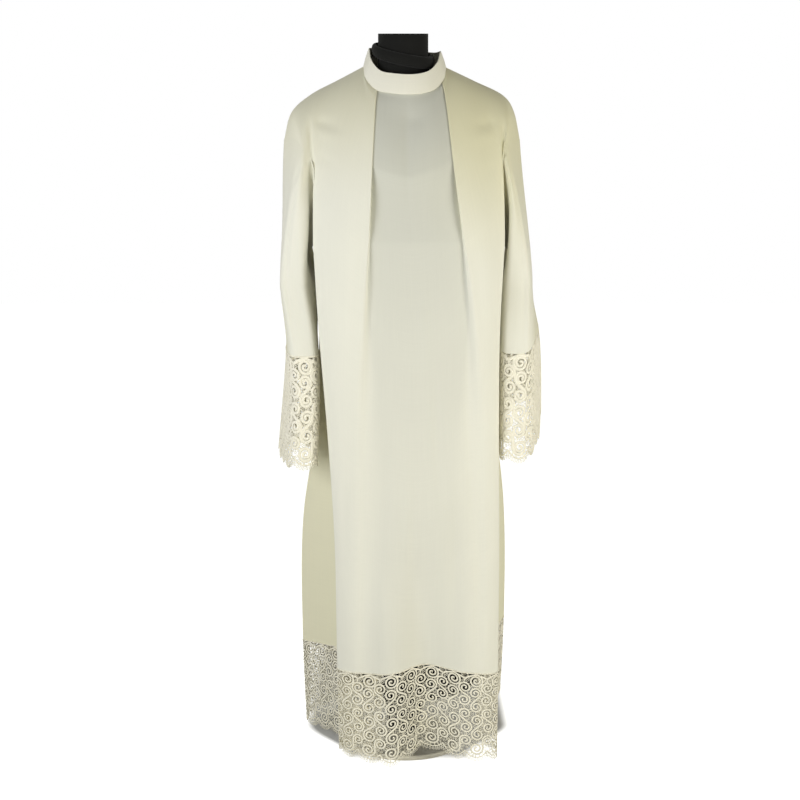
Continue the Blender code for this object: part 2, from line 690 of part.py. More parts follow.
def neck_roll(collection, finish):
    """A padded ring round the neck, higher behind, with a flat inner side."""
    half_width, half_depth, middle_x, middle_y = FORM_SECTIONS[NECK_TOP_Z]
    across, along = squared_circle()
    points = []
    for a, b in zip(across, along):
        for off, above in ROLL_PROFILE:
            aside = a * (half_width + off)
            ahead = b * (half_depth + off)
            rise = ROLL_RISE[0] * aside - ROLL_RISE[1] * ahead
            points.append((middle_x + aside, middle_y - ahead, ROLL_Z + above + rise))
    count = len(ROLL_PROFILE)
    faces = [
        (
            i * count + k,
            i * count + (k + 1) % count,
            (i + 1) % FORM_SEGMENTS * count + (k + 1) % count,
            (i + 1) % FORM_SEGMENTS * count + k,
        )
        for i in range(FORM_SEGMENTS)
        for k in range(count)
    ]
    return outward(mesh_object("neck_roll", points, faces, collection, finish))


def stand_base(collection, finish):
    """Round plate with a rounded edge, which the form's foot stands on."""
    bpy.ops.mesh.primitive_cylinder_add(
        vertices=BASE_SEGMENTS,
        radius=BASE_RADIUS,
        depth=BASE_THICKNESS,
        location=(0, 0, BASE_THICKNESS / 2),
    )
    obj = bpy.context.object
    obj.name = "stand_base"
    bevel = obj.modifiers.new("edge", "BEVEL")
    bevel.width = BASE_EDGE
    bevel.segments = 2
    bevel.limit_method = "ANGLE"
    for old in list(obj.users_collection):
        old.objects.unlink(obj)
    collection.objects.link(obj)
    obj.data.materials.append(finish)


def build():
    for obj in list(bpy.data.objects):
        bpy.data.objects.remove(obj, do_unlink=True)
    alb = new_collection("alb_robe")
    form = new_collection("dress_form")
    fabric = material("ivory_cloth", (0.80, 0.77, 0.64), 0.75)
    lace = material("ivory_guipure", (0.74, 0.70, 0.54), 0.80)
    jersey = material("black_jersey", (0.012, 0.012, 0.011), 0.85)
    metal = material("cream_painted_steel", (0.70, 0.68, 0.58), 0.45, 0.0)

    front, front_lace = body_grid("front")
    back, back_lace = body_grid("back")
    edges = {"top": SEAM_INSET, "first": SEAM_INSET, "last": SEAM_INSET}
    cloth("robe_front", shortened(front, **edges), alb, fabric)
    cloth("robe_back", shortened(back, **edges), alb, fabric)
    lace_strip("hem_lace_front", front_lace, HEM_DROP, alb, lace)
    lace_strip("hem_lace_back", back_lace, HEM_DROP, alb, lace)
    cloth("collar", collar_grid(), alb, fabric, wall=COLLAR_WALL)

    under = UPPER_ROWS + 1
    left_hole = np.concatenate([front[:under, 0], back[under - 2:0:-1, -1]])
    right_hole = np.concatenate([front[:under, -1], back[under - 2:0:-1, 0]])
    middle = UPPER_ROWS  # the column where a cuff's front half meets its back half
    for side_name, side, hole, table, cuff_z, drops in (
        ("left", -1, left_hole, SLEEVE_LEFT, CUFF_LEFT_Z, CUFF_LEFT_DROP),
        ("right", 1, right_hole, SLEEVE_RIGHT, CUFF_RIGHT_Z, CUFF_RIGHT_DROP),
    ):
        sleeve, cuff = sleeve_grid(hole, table, side, cuff_z, drops)
        sleeve = shortened(sleeve, top=SLEEVE_INSET, bottom=SEAM_INSET)
        cloth(f"sleeve_{side_name}", sleeve, alb, fabric, closed=True)
        ring = np.concatenate([cuff, cuff[:, :1]], axis=1)
        lace_strip(f"cuff_lace_{side_name}_front", ring[:, :middle + 1], drops[0], alb, lace)
        lace_strip(f"cuff_lace_{side_name}_back", ring[:, middle:], drops[0], alb, lace)

    form_torso(form, jersey)
    neck_roll(form, jersey)
    stand_base(form, metal)


build()
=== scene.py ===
# %% [markdown]
# # An ivory alb with guipure lace, on a black dress form
#
# An alb is a long plain robe. This one is cut as a front and a back, with two straight sleeves,
# a band collar, an inverted pleat at the front, and a deep border of corded lace sewn to the
# hem and to both cuffs. It is shown on a dress form without arms or legs.
#
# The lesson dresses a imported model: the solids are exact but plain, and each one is replaced by a
# finer piece of the same form. Cloth could be simulated, but this cloth hangs still in long
# pressed lines, so it is drawn from short tables of sizes, as a pattern cutter would note them.
# +Z is up, the front faces -Y, and left is the viewer's left, -X.

import math

import bmesh
import bpy
import numpy as np
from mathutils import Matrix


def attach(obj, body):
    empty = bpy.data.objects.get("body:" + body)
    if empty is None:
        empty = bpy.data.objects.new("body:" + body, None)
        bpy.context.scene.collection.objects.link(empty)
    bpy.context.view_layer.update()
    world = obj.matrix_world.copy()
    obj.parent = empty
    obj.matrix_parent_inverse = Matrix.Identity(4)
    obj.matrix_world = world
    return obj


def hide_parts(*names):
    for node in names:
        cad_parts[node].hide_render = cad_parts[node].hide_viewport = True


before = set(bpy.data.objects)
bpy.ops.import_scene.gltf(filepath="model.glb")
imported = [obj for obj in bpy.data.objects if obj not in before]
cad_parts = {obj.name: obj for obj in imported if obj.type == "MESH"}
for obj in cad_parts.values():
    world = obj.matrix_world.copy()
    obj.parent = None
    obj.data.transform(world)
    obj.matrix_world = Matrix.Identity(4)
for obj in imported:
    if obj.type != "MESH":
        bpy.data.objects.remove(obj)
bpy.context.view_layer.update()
bpy.ops.object.select_all(action="DESELECT")

# %% [markdown]
# ## Camera, floor and light
#
# The robe stands on a form about 1.5 m high, and a lens of 61 mm from 2.9 m away draws it without
# much perspective. The camera looks down a little, so the tilt is a value of its own.

# %% Camera
LENS_MM = 61.25
TILT = 6.77  # degrees downwards

CAMERA_PLACE = (-0.012, -2.9, 1.10)

camera_data = bpy.data.cameras.new("camera")
camera_data.sensor_width = 36
camera_data.lens = LENS_MM
camera = bpy.data.objects.new("camera", camera_data)
camera.location = CAMERA_PLACE
camera.rotation_euler = (math.radians(90 - TILT), 0, 0)
bpy.context.scene.collection.objects.link(camera)
bpy.context.scene.camera = camera
bpy.context.scene.view_settings.view_transform = "Standard"  # ivory stays the ivory it was dyed
print("camera at", tuple(camera.location))

# %% [markdown]
# Colours are written as hex values, as a paint or dye card gives them, and one function turns
# them into the linear values that the shaders work in. One more small function adds a node with
# its settings and its inputs. An input is a number, a colour or another node's output. A new
# material starts from Blender's own Principled shader, which the finishes below then feed.


# %% Colours and nodes
def dye(code):
    """A hex colour as linear red, green, blue and alpha."""
    parts = [int(code[i:i + 2], 16) / 255 for i in (1, 3, 5)]
    return (*[c / 12.92 if c <= 0.04045 else ((c + 0.055) / 1.055) ** 2.4 for c in parts], 1.0)


def add_node(tree, kind, inputs=None, **settings):
    """A node of one kind, with its settings and its inputs by name or number."""
    made = tree.nodes.new(kind)
    for name, value in settings.items():
        setattr(made, name, value)
    for socket, value in (inputs or {}).items():
        if isinstance(value, bpy.types.NodeSocket):
            tree.links.new(value, made.inputs[socket])
        else:
            made.inputs[socket].default_value = value
    return made


def principled(name):
    """A new material: its tree, its shader and itself."""
    made = bpy.data.materials.new(name)
    made.use_nodes = True
    return made.node_tree, made.node_tree.nodes["Principled BSDF"], made


print("ivory in linear light:", dye("#edebda"))

# %% [markdown]
# The world lights the robe from all sides: a middle grey at the horizon, darker and warmer
# overhead, so that the shoulders are darker than the breast. What the camera sees of it directly
# is plain white, like a cleared backdrop, and a Light Path node tells the two apart.

# %% World
HORIZON = (0.05, (0.54, 0.54, 0.53, 1.0))  # height on the unit sphere, linear colour
OVERHEAD = (0.65, (0.125, 0.122, 0.095, 1.0))

world = bpy.data.worlds.new("studio")
world.use_nodes = True
sky = world.node_tree
sky.nodes.clear()
direction = add_node(sky, "ShaderNodeTexCoord")
height_of = add_node(sky, "ShaderNodeSeparateXYZ", {0: direction.outputs["Generated"]})
ramp = add_node(sky, "ShaderNodeValToRGB", {0: height_of.outputs["Z"]})
for stop, (height, tone) in zip(ramp.color_ramp.elements, (HORIZON, OVERHEAD)):
    stop.position = height
    stop.color = tone
seen = add_node(sky, "ShaderNodeLightPath")
backdrop = add_node(sky, "ShaderNodeMix", {
    "Factor": seen.outputs["Is Camera Ray"], "A": ramp.outputs["Color"], "B": (1, 1, 1, 1)},
    data_type="RGBA")
light = add_node(sky, "ShaderNodeBackground", {"Color": backdrop.outputs["Result"]})
add_node(sky, "ShaderNodeOutputWorld", {"Surface": light.outputs[0]})
bpy.context.scene.world = world
print("world:", world.name)

# %% [markdown]
# Two large soft boxes stand beside the camera: a cool one higher at the left, and a nearly
# neutral one lower at the right. A surface that turns to the left reads a little blue-grey and
# one that turns to the right a little yellow, which makes the soft flutes of the skirt visible.

# %% Lights
BOX_SIZE = 1.0
BOX_ASIDE = 1.50
BOX_AHEAD = -1.25


def soft_box(name, side, height, aim_height, power, colour):
    """A square area light at one side that faces the robe's axis at a height."""
    data = bpy.data.lights.new(name, "AREA")
    data.size = BOX_SIZE
    data.energy = power
    data.color = dye(colour)[:3]
    lamp = bpy.data.objects.new(name, data)
    lamp.location = (side * BOX_ASIDE, BOX_AHEAD, height)
    aim = np.array((0, 0, aim_height)) - (side * BOX_ASIDE, BOX_AHEAD, height)
    lamp.rotation_euler = (
        math.acos(-aim[2] / np.linalg.norm(aim)), 0, math.atan2(aim[1], aim[0]) - math.pi / 2
    )
    bpy.context.scene.collection.objects.link(lamp)
    print(name, "at", tuple(lamp.location))


soft_box("box_left", -1, 1.24, 1.07, 23.4, "#f6f8ff")
soft_box("box_right", 1, 0.96, 0.86, 21.2, "#fdfbf6")

# %% [markdown]
# The floor is matt white paper. Under the robe it is lit like any paper, so the lace has a soft
# shade behind it; further out it glows for the camera alone and joins the backdrop. The lit patch
# follows the hem: it has the panel's width in front and grows wider behind. The floor lies a
# little below zero, so that the base plate's underside does not flicker through it.

# %% Floor
FLOOR_Z = -0.0004
PATCH_MIDDLE = 0.005
PATCH_SIDE = (0.110, 0.135)  # metres from the middle: where the glow starts, and where it is full
PATCH_FRONT = (-0.07, -0.125)
PATCH_BACK = (0.70, 1.10)
PATCH_GROWS = (-0.10, 0.10, 0.10)  # from this y to that y it grows wider by so much

bpy.ops.mesh.primitive_plane_add(size=40, location=(0, 0, FLOOR_Z))
floor = bpy.context.object
floor.name = "floor"
paper_tree, paper_shader, paper = principled("matt_white_paper")
paper_shader.inputs["Base Color"].default_value = dye("#dededa")
paper_shader.inputs["Roughness"].default_value = 0.9
paper_shader.inputs["Emission Color"].default_value = dye("#fcfcfa")
eye = add_node(paper_tree, "ShaderNodeLightPath")
where = add_node(paper_tree, "ShaderNodeTexCoord")
axes = add_node(paper_tree, "ShaderNodeSeparateXYZ", {0: where.outputs["Object"]})
off_middle = add_node(paper_tree, "ShaderNodeMath", {
    0: axes.outputs["X"], 1: PATCH_MIDDLE}, operation="SUBTRACT")
to_side = add_node(paper_tree, "ShaderNodeMath", {0: off_middle.outputs[0]}, operation="ABSOLUTE")
wider = add_node(paper_tree, "ShaderNodeMapRange", {
    "Value": axes.outputs["Y"], "From Min": PATCH_GROWS[0], "From Max": PATCH_GROWS[1],
    "To Max": PATCH_GROWS[2]}, interpolation_type="SMOOTHSTEP")
to_hem = add_node(paper_tree, "ShaderNodeMath", {
    0: to_side.outputs[0], 1: wider.outputs[0]}, operation="SUBTRACT")
beside, before, behind = (
    add_node(paper_tree, "ShaderNodeMapRange", {
        "Value": place, "From Min": start, "From Max": end}, interpolation_type="SMOOTHSTEP")
    for place, (start, end) in ((to_hem.outputs[0], PATCH_SIDE), (axes.outputs["Y"], PATCH_FRONT),
                                (axes.outputs["Y"], PATCH_BACK))
)
in_front = add_node(paper_tree, "ShaderNodeMath", {
    0: beside.outputs[0], 1: before.outputs[0]}, operation="MAXIMUM")
open_floor = add_node(paper_tree, "ShaderNodeMath", {
    0: in_front.outputs[0], 1: behind.outputs[0]}, operation="MAXIMUM")
glow = add_node(paper_tree, "ShaderNodeMath", {
    0: eye.outputs["Is Camera Ray"], 1: open_floor.outputs[0]}, operation="MULTIPLY")
paper_tree.links.new(glow.outputs[0], paper_shader.inputs["Emission Strength"])
floor.data.materials.append(paper)
bpy.ops.object.select_all(action="DESELECT")
print("floor ready:", paper.name)

# %% [markdown]
# ## The cloth's finish
#
# The robe is sewn of a light blend of polyester and wool in a plain weave: matt, smooth, with a
# faint bloom where it turns away, which is the sheen of the fibre ends. A thread is about a
# third of a millimetre, far too fine to show, so the weave is drawn with 1.1 mm threads and
# very little height, and what one sees first are slubs: slightly thicker threads, a few
# centimetres long, both ways. The pattern lies on the piece's own UV map, in metres of flat cloth.
#
# Two attributes of the mesh vary the dye. The first is 1 where the cloth lies double or triple,
# and lower on the sunk panel of the pleat, where one layer lies over the black form: its cooler,
# greyer ivory is partly the form showing through and partly painted shade of the recess. The
# second paints a warmer, yellower ivory in as the tint of shade on the shoulders, back and sides,
# and of warm light at the right.

# %% Ivory cloth
THREAD = 0.0011  # metres; a real thread is a third of this
WAVE_UNIT = math.pi / 10  # a wave texture of scale 1 repeats after this length
SLUB_GRAIN = (9.0, 420.0)  # per metre, along a slub and across it
# a yellower ivory, painted in where shade falls and where warm light falls at the right
WARM_SHADE_COLOUR = "#e4dfba"


def ivory_cloth(name, warm, cool):
    """Plain-woven cloth. warm is the dyed colour, the other that of one layer over black with
    painted shade.
    """
    tree, shader, made = principled(name)
    flat = add_node(tree, "ShaderNodeUVMap", uv_map="flat").outputs["UV"]
    warp, weft = (
        add_node(tree, "ShaderNodeTexWave", {"Vector": flat, "Scale": WAVE_UNIT / THREAD},
                 bands_direction=way)
        for way in "XY"
    )
    weave = add_node(tree, "ShaderNodeMath",
                     {0: warp.outputs["Fac"], 1: weft.outputs["Fac"]}, operation="MULTIPLY")
    slubs = []
    for across, down in (SLUB_GRAIN, SLUB_GRAIN[::-1]):
        stretched = add_node(tree, "ShaderNodeMapping",
                             {"Vector": flat, "Scale": (across, down, 1.0)})
        slubs.append(add_node(tree, "ShaderNodeTexNoise",
                              {"Vector": stretched.outputs[0], "Scale": 1.0, "Detail": 1.5}))
    slub = add_node(tree, "ShaderNodeMath",
                    {0: slubs[0].outputs["Fac"], 1: slubs[1].outputs["Fac"]}, operation="ADD")
    clouds = add_node(tree, "ShaderNodeTexNoise", {"Vector": flat, "Scale": 5.0, "Detail": 2.0})
    # the sunk panel's greyer colour: one layer over the black form, and painted shade of the recess
    layers_and_painted_shade = add_node(tree, "ShaderNodeAttribute", attribute_name="layers_and_painted_shade")
    body = add_node(tree, "ShaderNodeMix", {
        "Factor": layers_and_painted_shade.outputs["Fac"], "A": dye(cool), "B": dye(warm)}, data_type="RGBA")
    # a warmer, yellower ivory painted in as shade and warm light
    painted_warm_shade = add_node(tree, "ShaderNodeAttribute", attribute_name="painted_warm_shade")
    body = add_node(tree, "ShaderNodeMix", {
        "Factor": painted_warm_shade.outputs["Fac"], "A": body.outputs["Result"], "B": dye(WARM_SHADE_COLOUR)},
        data_type="RGBA")
    tint = add_node(tree, "ShaderNodeMapRange", {
        "Value": slub.outputs[0], "From Min": 0.6, "From Max": 1.4,
        "To Min": 0.98, "To Max": 1.01})
    patch = add_node(tree, "ShaderNodeMapRange", {
        "Value": clouds.outputs["Fac"], "From Min": 0.3, "From Max": 0.7,
        "To Min": 0.985, "To Max": 1.01})
    grain = add_node(tree, "ShaderNodeMath",
                     {0: tint.outputs[0], 1: patch.outputs[0]}, operation="MULTIPLY")
    colour = add_node(tree, "ShaderNodeVectorMath",
                      {0: body.outputs["Result"], "Scale": grain.outputs[0]}, operation="SCALE")
    tree.links.new(colour.outputs[0], shader.inputs["Base Color"])
    rough = add_node(tree, "ShaderNodeMapRange", {
        "Value": slub.outputs[0], "From Min": 0.6, "From Max": 1.4,
        "To Min": 0.78, "To Max": 0.90})
    tree.links.new(rough.outputs[0], shader.inputs["Roughness"])
    relief = add_node(tree, "ShaderNodeMath",
                      {0: weave.outputs[0], 1: slub.outputs[0]}, operation="ADD")
    bump = add_node(tree, "ShaderNodeBump",
                    {"Height": relief.outputs[0], "Distance": 0.0001, "Strength": 0.3})
    tree.links.new(bump.outputs[0], shader.inputs["Normal"])
    shader.inputs["Sheen Weight"].default_value = 0.25
    shader.inputs["Sheen Roughness"].default_value = 0.5
    shader.inputs["Specular IOR Level"].default_value = 0.25
    return made


# the second colour is the sunk panel's: one layer over the black form, with painted shade
cloth_finish = ivory_cloth("ivory_polyester_wool_plain_weave", "#edebda", "#cfcfc1")
print("cloth:", cloth_finish.name)

# %% [markdown]
# ## Curves through short tables
#
# Everything soft here starts from a few sizes at a few heights. A cubic curve through them gives
# the places in between, which is the same as bending a spline batten round pins on a drawing
# board. `hermite` is one piece of such a curve, `smooth` strings pieces together, and `level`
# reads a table that is keyed by height. `eased` and `risen` are for what fades in, and the last
# three measure along a line of points, read values at places on it, and make directions one unit
# long.


# %% Curves
def hermite(t, start, leave, end, arrive):
    """The point at t of a cubic from start to end with the given directions."""
    t2, t3 = t * t, t * t * t
    return (
        (2 * t3 - 3 * t2 + 1) * start
        + (t3 - 2 * t2 + t) * leave
        + (3 * t2 - 2 * t3) * end
        + (t3 - t2) * arrive
    )


def smooth(knots, values, at):
    """Points at `at` on a smooth curve through the values at the rising knots."""
    knots = np.asarray(knots, float)
    values = np.asarray(values, float)
    at = np.atleast_1d(np.asarray(at, float))
    slopes = np.gradient(values, knots, axis=0)
    i = np.clip(np.searchsorted(knots, at, side="right") - 1, 0, len(knots) - 2)
    shape = (len(at),) + (1,) * (values.ndim - 1)
    width = (knots[i + 1] - knots[i]).reshape(shape)
    t = (at - knots[i]).reshape(shape) / width
    return hermite(t, values[i], slopes[i] * width, values[i + 1], slopes[i + 1] * width)


def level(table, z):
    """The row of a table keyed by height, at height z."""
    heights = sorted(table)
    z = min(max(z, heights[0]), heights[-1])
    return smooth(heights, [table[h] for h in heights], z)[0]


def along_edge(points, t):
    """Places at the shares t of the way along a smooth curve through the points."""
    return smooth(np.linspace(0, 1, len(points)), points, t)


def eased(t):
    """0 to 1 with a soft start and a soft end."""
    t = np.clip(t, 0, 1)
    return t * t * (3 - 2 * t)


def risen(value, low, high):
    """0 at low, 1 at high and beyond, and eased in between."""
    return eased((value - low) / (high - low))


def travelled(points):
    """How far each point of a line lies from its first one, along the line."""
    return np.concatenate([[0], np.cumsum(np.linalg.norm(np.diff(points, axis=0), axis=1))])


def sampled(at, places, values):
    """The values that belong to the rising places, read in between, at `at`."""
    return np.column_stack([np.interp(at, places, column) for column in values.T])


def unit(ways):
    """The same directions, one unit long."""
    return ways / np.linalg.norm(ways, axis=-1, keepdims=True)


print("halfway between 0 and 1:", eased(0.5))

# %% [markdown]
# ## The cutter's sizes
#
# These are the sizes of the robe as it hangs. The top edges run from the armhole over the
# shoulder and round the neck. The plan tables say where the cloth goes on one level: from the
# left side seam into the valley behind the panel, forward to the panel's edge, and across the
# front, nine places in all. Low down, the front has one deep flute right of the middle.

# %% Sizes of the body
UNDERARM_Z = 1.09
HEM_Z = 0.212

SHOULDER_LEFT = (
    (-0.255, 0.000, 1.305), (-0.239, 0.002, 1.362), (-0.198, 0.004, 1.399),
    (-0.143, 0.007, 1.428), (-0.088, 0.010, 1.457),
)
SHOULDER_RIGHT = (
    (0.239, 0.000, 1.305), (0.226, 0.002, 1.364), (0.202, 0.004, 1.398),
    (0.143, 0.007, 1.427), (0.084, 0.010, 1.455),
)
NECK_FRONT = (
    (-0.088, 0.010, 1.457), (-0.083, -0.034, 1.428), (-0.062, -0.060, 1.4030),
    (-0.030, -0.075, 1.3945), (0.004, -0.081, 1.3915), (0.034, -0.077, 1.3940),
    (0.059, -0.063, 1.4035), (0.078, -0.036, 1.426), (0.084, 0.010, 1.455),
)
NECK_BACK = (
    (0.084, 0.010, 1.455), (0.060, 0.052, 1.462), (-0.002, 0.068, 1.4665),
    (-0.063, 0.052, 1.463), (-0.088, 0.010, 1.457),
)

ACROSS = 8  # a panel goes from 0 at one side seam to 8 at the other
NECK_START = 3.3
NECK_END = ACROSS - NECK_START
PANEL_START = 2.0

FRONT_PLAN = {
    1.09: ((-0.190, 0.010), (-0.171, -0.070), (-0.187, -0.117), (-0.118, -0.156), (0.005, -0.166),
           (0.128, -0.156), (0.199, -0.117), (0.184, -0.070), (0.202, 0.010)),
    0.92: ((-0.187, 0.045), (-0.154, -0.070), (-0.177, -0.130), (-0.110, -0.163), (0.005, -0.172),
           (0.125, -0.163), (0.191, -0.130), (0.167, -0.070), (0.190, 0.045)),
    0.70: ((-0.196, 0.072), (-0.126, -0.068), (-0.160, -0.140), (-0.100, -0.169), (0.005, -0.178),
           (0.125, -0.169), (0.190, -0.140), (0.158, -0.068), (0.196, 0.072)),
    0.50: ((-0.225, 0.065), (-0.118, -0.078), (-0.147, -0.148), (-0.075, -0.179), (0.018, -0.180),
           (0.120, -0.176), (0.192, -0.148), (0.157, -0.078), (0.216, 0.065)),
    0.23: ((-0.229, 0.062), (-0.108, -0.090), (-0.141, -0.160), (-0.042, -0.199), (0.040, -0.165),
           (0.112, -0.185), (0.191, -0.158), (0.153, -0.090), (0.220, 0.062)),
    0.00: ((-0.221, 0.062), (-0.106, -0.095), (-0.137, -0.165), (-0.036, -0.205), (0.042, -0.154),
           (0.112, -0.191), (0.190, -0.163), (0.152, -0.095), (0.212, 0.062)),
}
BACK_PLAN = {
    1.09: ((0.202, 0.010), (0.186, 0.082), (0.130, 0.124), (0.060, 0.126), (0.000, 0.134),
           (-0.060, 0.127), (-0.122, 0.124), (-0.174, 0.082), (-0.190, 0.010)),
    0.92: ((0.190, 0.045), (0.184, 0.104), (0.132, 0.140), (0.062, 0.128), (0.000, 0.150),
           (-0.062, 0.130), (-0.126, 0.141), (-0.180, 0.104), (-0.187, 0.045)),
    0.70: ((0.196, 0.072), (0.190, 0.128), (0.134, 0.160), (0.064, 0.136), (0.000, 0.166),
           (-0.064, 0.138), (-0.134, 0.161), (-0.192, 0.128), (-0.196, 0.072)),
    0.50: ((0.216, 0.065), (0.200, 0.136), (0.135, 0.174), (0.066, 0.142), (0.000, 0.176),
           (-0.066, 0.144), (-0.140, 0.176), (-0.208, 0.136), (-0.225, 0.065)),
    0.23: ((0.220, 0.062), (0.206, 0.140), (0.138, 0.188), (0.069, 0.148), (0.000, 0.188),
           (-0.069, 0.150), (-0.144, 0.190), (-0.214, 0.140), (-0.229, 0.062)),
    0.00: ((0.212, 0.062), (0.204, 0.142), (0.140, 0.192), (0.070, 0.150), (0.000, 0.192),
           (-0.070, 0.152), (-0.146, 0.194), (-0.210, 0.142), (-0.221, 0.062)),
}
# place across: height of the hem seam, height of the lace's tips
FRONT_HEM = {
    0: (0.208, 0.013), 1: (0.226, 0.028), 2: (0.213, 0.034), 3: (0.212, 0.016), 4: (0.223, 0.036),
    5: (0.212, 0.024), 6: (0.206, 0.021), 7: (0.229, 0.050), 8: (0.262, 0.083),
}
BACK_HEM = {
    0: (0.262, 0.083), 2: (0.240, 0.055), 4: (0.225, 0.035), 6: (0.215, 0.020), 8: (0.208, 0.013),
}
# place across: (leaving x, y, z), (arriving x, y, z); the right half mirrors the left
FRONT_SWING = {
    0.0: ((0.17, -0.44, 0.06), (0.00, 0.40, -0.38)),
    1.0: ((0.05, -0.36, -0.06), (0.00, 0.14, -0.36)),
    2.0: ((0.00, -0.30, -0.10), (0.00, 0.00, -0.35)),
    3.3: ((0.00, -0.28, -0.12), (0.00, 0.00, -0.35)),
    4.0: ((0.00, -0.14, -0.25), (0.00, 0.00, -0.32)),
}
BACK_SWING = {
    0.0: ((-0.08, 0.42, 0.03), (0.00, -0.36, -0.38)),
    1.0: ((-0.02, 0.34, -0.06), (0.00, -0.12, -0.36)),
    2.0: ((0.00, 0.28, -0.08), (0.00, 0.00, -0.36)),
    3.3: ((0.00, 0.24, -0.13), (0.00, 0.00, -0.36)),
    4.0: ((0.00, 0.20, -0.17), (0.00, 0.00, -0.36)),
}

# %% [markdown]
# ## The inverted pleat
#
# At the neck the front is folded into an inverted pleat: the two side panels meet a sunk middle
# panel, and a strip of cloth is turned under along each fold. The fold is pressed sharp at the
# collar and relaxes on the way down. For each height the table has the place of the fold's edge,
# how far the cloth turns round in degrees (180 lies flat on itself), the bend's radius and the
# width turned under.

# %% Sizes of the pleat
PLEAT_LEFT = {
    1.42: (-0.058, 179, 0.0006, 0.024), 1.22: (-0.068, 178, 0.0006, 0.022),
    1.09: (-0.074, 85, 0.0020, 0.002), 0.92: (-0.083, 40, 0.0140, 0.004),
    0.70: (-0.090, 16, 0.0500, 0.003), 0.50: (-0.094, 10, 0.0700, 0.003),
    0.23: (-0.098, 7, 0.0900, 0.003), 0.00: (-0.100, 6, 0.0900, 0.003),
}
PLEAT_RIGHT = {
    1.42: (0.071, 179, 0.0006, 0.024), 1.22: (0.095, 178, 0.0006, 0.022),
    1.09: (0.116, 95, 0.0020, 0.003), 0.92: (0.136, 50, 0.0120, 0.005),
    0.70: (0.143, 26, 0.0300, 0.004), 0.50: (0.151, 18, 0.0450, 0.004),
    0.23: (0.158, 13, 0.0550, 0.004), 0.00: (0.160, 12, 0.0550, 0.004),
}

# %% [markdown]
# ## Creases
#
# Still cloth keeps soft creases: long flutes that fall from the body, drag lines that run from
# the armhole towards the breast, and small dents. Each is a line on the cloth with a height, and
# a width to either side, because a crease is nearly always steeper on one side. They are placed
# one by one. The columns: height in mm (a ridge is positive, a trough negative), width to the left
# and to the right in mm, the share of its length over which it grows and fades, and the line's
# points (x, z) in metres.

# %% Creases of the front and of the back
FRONT_CREASES = (
    # long flutes of the skirt, from the left to the right
    (-5.5, 26, 26, 0.55, 0.00,
     ((-0.034, 0.82), (-0.052, 0.58), (-0.074, 0.38), (-0.078, 0.18), (-0.078, 0.00))),
    (3.0, 26, 24, 0.50, 0.00, ((-0.030, 0.74), (-0.012, 0.45), (-0.004, 0.20), (-0.004, 0.00))),
    (-5.0, 20, 20, 0.50, 0.00, ((0.108, 0.62), (0.104, 0.48), (0.098, 0.20), (0.096, 0.00))),
    (-3.0, 12, 10, 0.40, 0.30, ((0.138, 0.90), (0.150, 0.68), (0.156, 0.45), (0.158, 0.22))),
    (-1.6, 8, 12, 0.40, 0.50, ((0.060, 0.86), (0.064, 0.70), (0.074, 0.46))),
    (1.2, 10, 8, 0.40, 0.50, ((0.000, 0.66), (0.004, 0.50), (-0.002, 0.33))),
    (-1.2, 9, 9, 0.40, 0.40, ((-0.122, 0.66), (-0.127, 0.52), (-0.124, 0.38))),
    (-1.2, 7, 9, 0.50, 0.40, ((0.170, 0.70), (0.172, 0.55), (0.176, 0.40))),
    # low on the side panels above the waist
    (1.6, 22, 14, 0.40, 0.50, ((-0.118, 1.20), (-0.116, 1.05), (-0.126, 0.84))),
    (-1.4, 10, 12, 0.40, 0.50, ((-0.092, 1.08), (-0.098, 0.96), (-0.106, 0.80))),
    (1.6, 16, 16, 0.40, 0.50, ((0.152, 1.20), (0.160, 1.06), (0.164, 0.88))),
    (-1.5, 10, 16, 0.40, 0.50, ((0.132, 1.12), (0.146, 1.00), (0.152, 0.86))),
    # drag lines from the armholes
    (-2.2, 7, 12, 0.25, 0.60, ((-0.192, 1.338), (-0.160, 1.330), (-0.118, 1.312))),
    (1.4, 10, 12, 0.30, 0.60, ((-0.186, 1.316), (-0.150, 1.306), (-0.120, 1.290))),
    (-1.2, 8, 8, 0.30, 0.60, ((-0.184, 1.270), (-0.156, 1.256), (-0.128, 1.226))),
    (-2.2, 12, 7, 0.25, 0.60, ((0.186, 1.340), (0.156, 1.328), (0.126, 1.318))),
    (1.4, 12, 10, 0.30, 0.60, ((0.184, 1.316), (0.152, 1.300), (0.128, 1.290))),
    (-1.6, 9, 9, 0.30, 0.60, ((0.180, 1.258), (0.160, 1.226), (0.134, 1.190))),
    (-1.4, 8, 10, 0.30, 0.60, ((0.180, 1.130), (0.166, 1.090), (0.150, 1.050))),
    # the groove beside each armhole
    (-4.0, 7, 5, 0.30, 0.25, ((-0.197, 1.356), (-0.194, 1.300), (-0.191, 1.240), (-0.190, 1.170))),
    (-3.4, 5, 7, 0.30, 0.25, ((0.197, 1.354), (0.200, 1.300), (0.203, 1.240), (0.204, 1.170))),
    # dents of the sunk panel below the collar
    (-1.3, 14, 14, 0.50, 0.50, ((-0.016, 1.338), (0.016, 1.340), (0.046, 1.336))),
    (1.2, 24, 24, 0.40, 0.50, ((0.000, 1.300), (0.010, 1.180), (0.006, 1.020))),
    (-1.0, 14, 18, 0.40, 0.50, ((0.060, 1.240), (0.078, 1.120), (0.092, 1.000))),
    (-0.9, 16, 12, 0.40, 0.50, ((-0.042, 1.180), (-0.048, 1.060), (-0.052, 0.900))),
    (1.0, 14, 14, 0.40, 0.50, ((0.030, 1.040), (0.038, 0.920), (0.048, 0.760))),
)
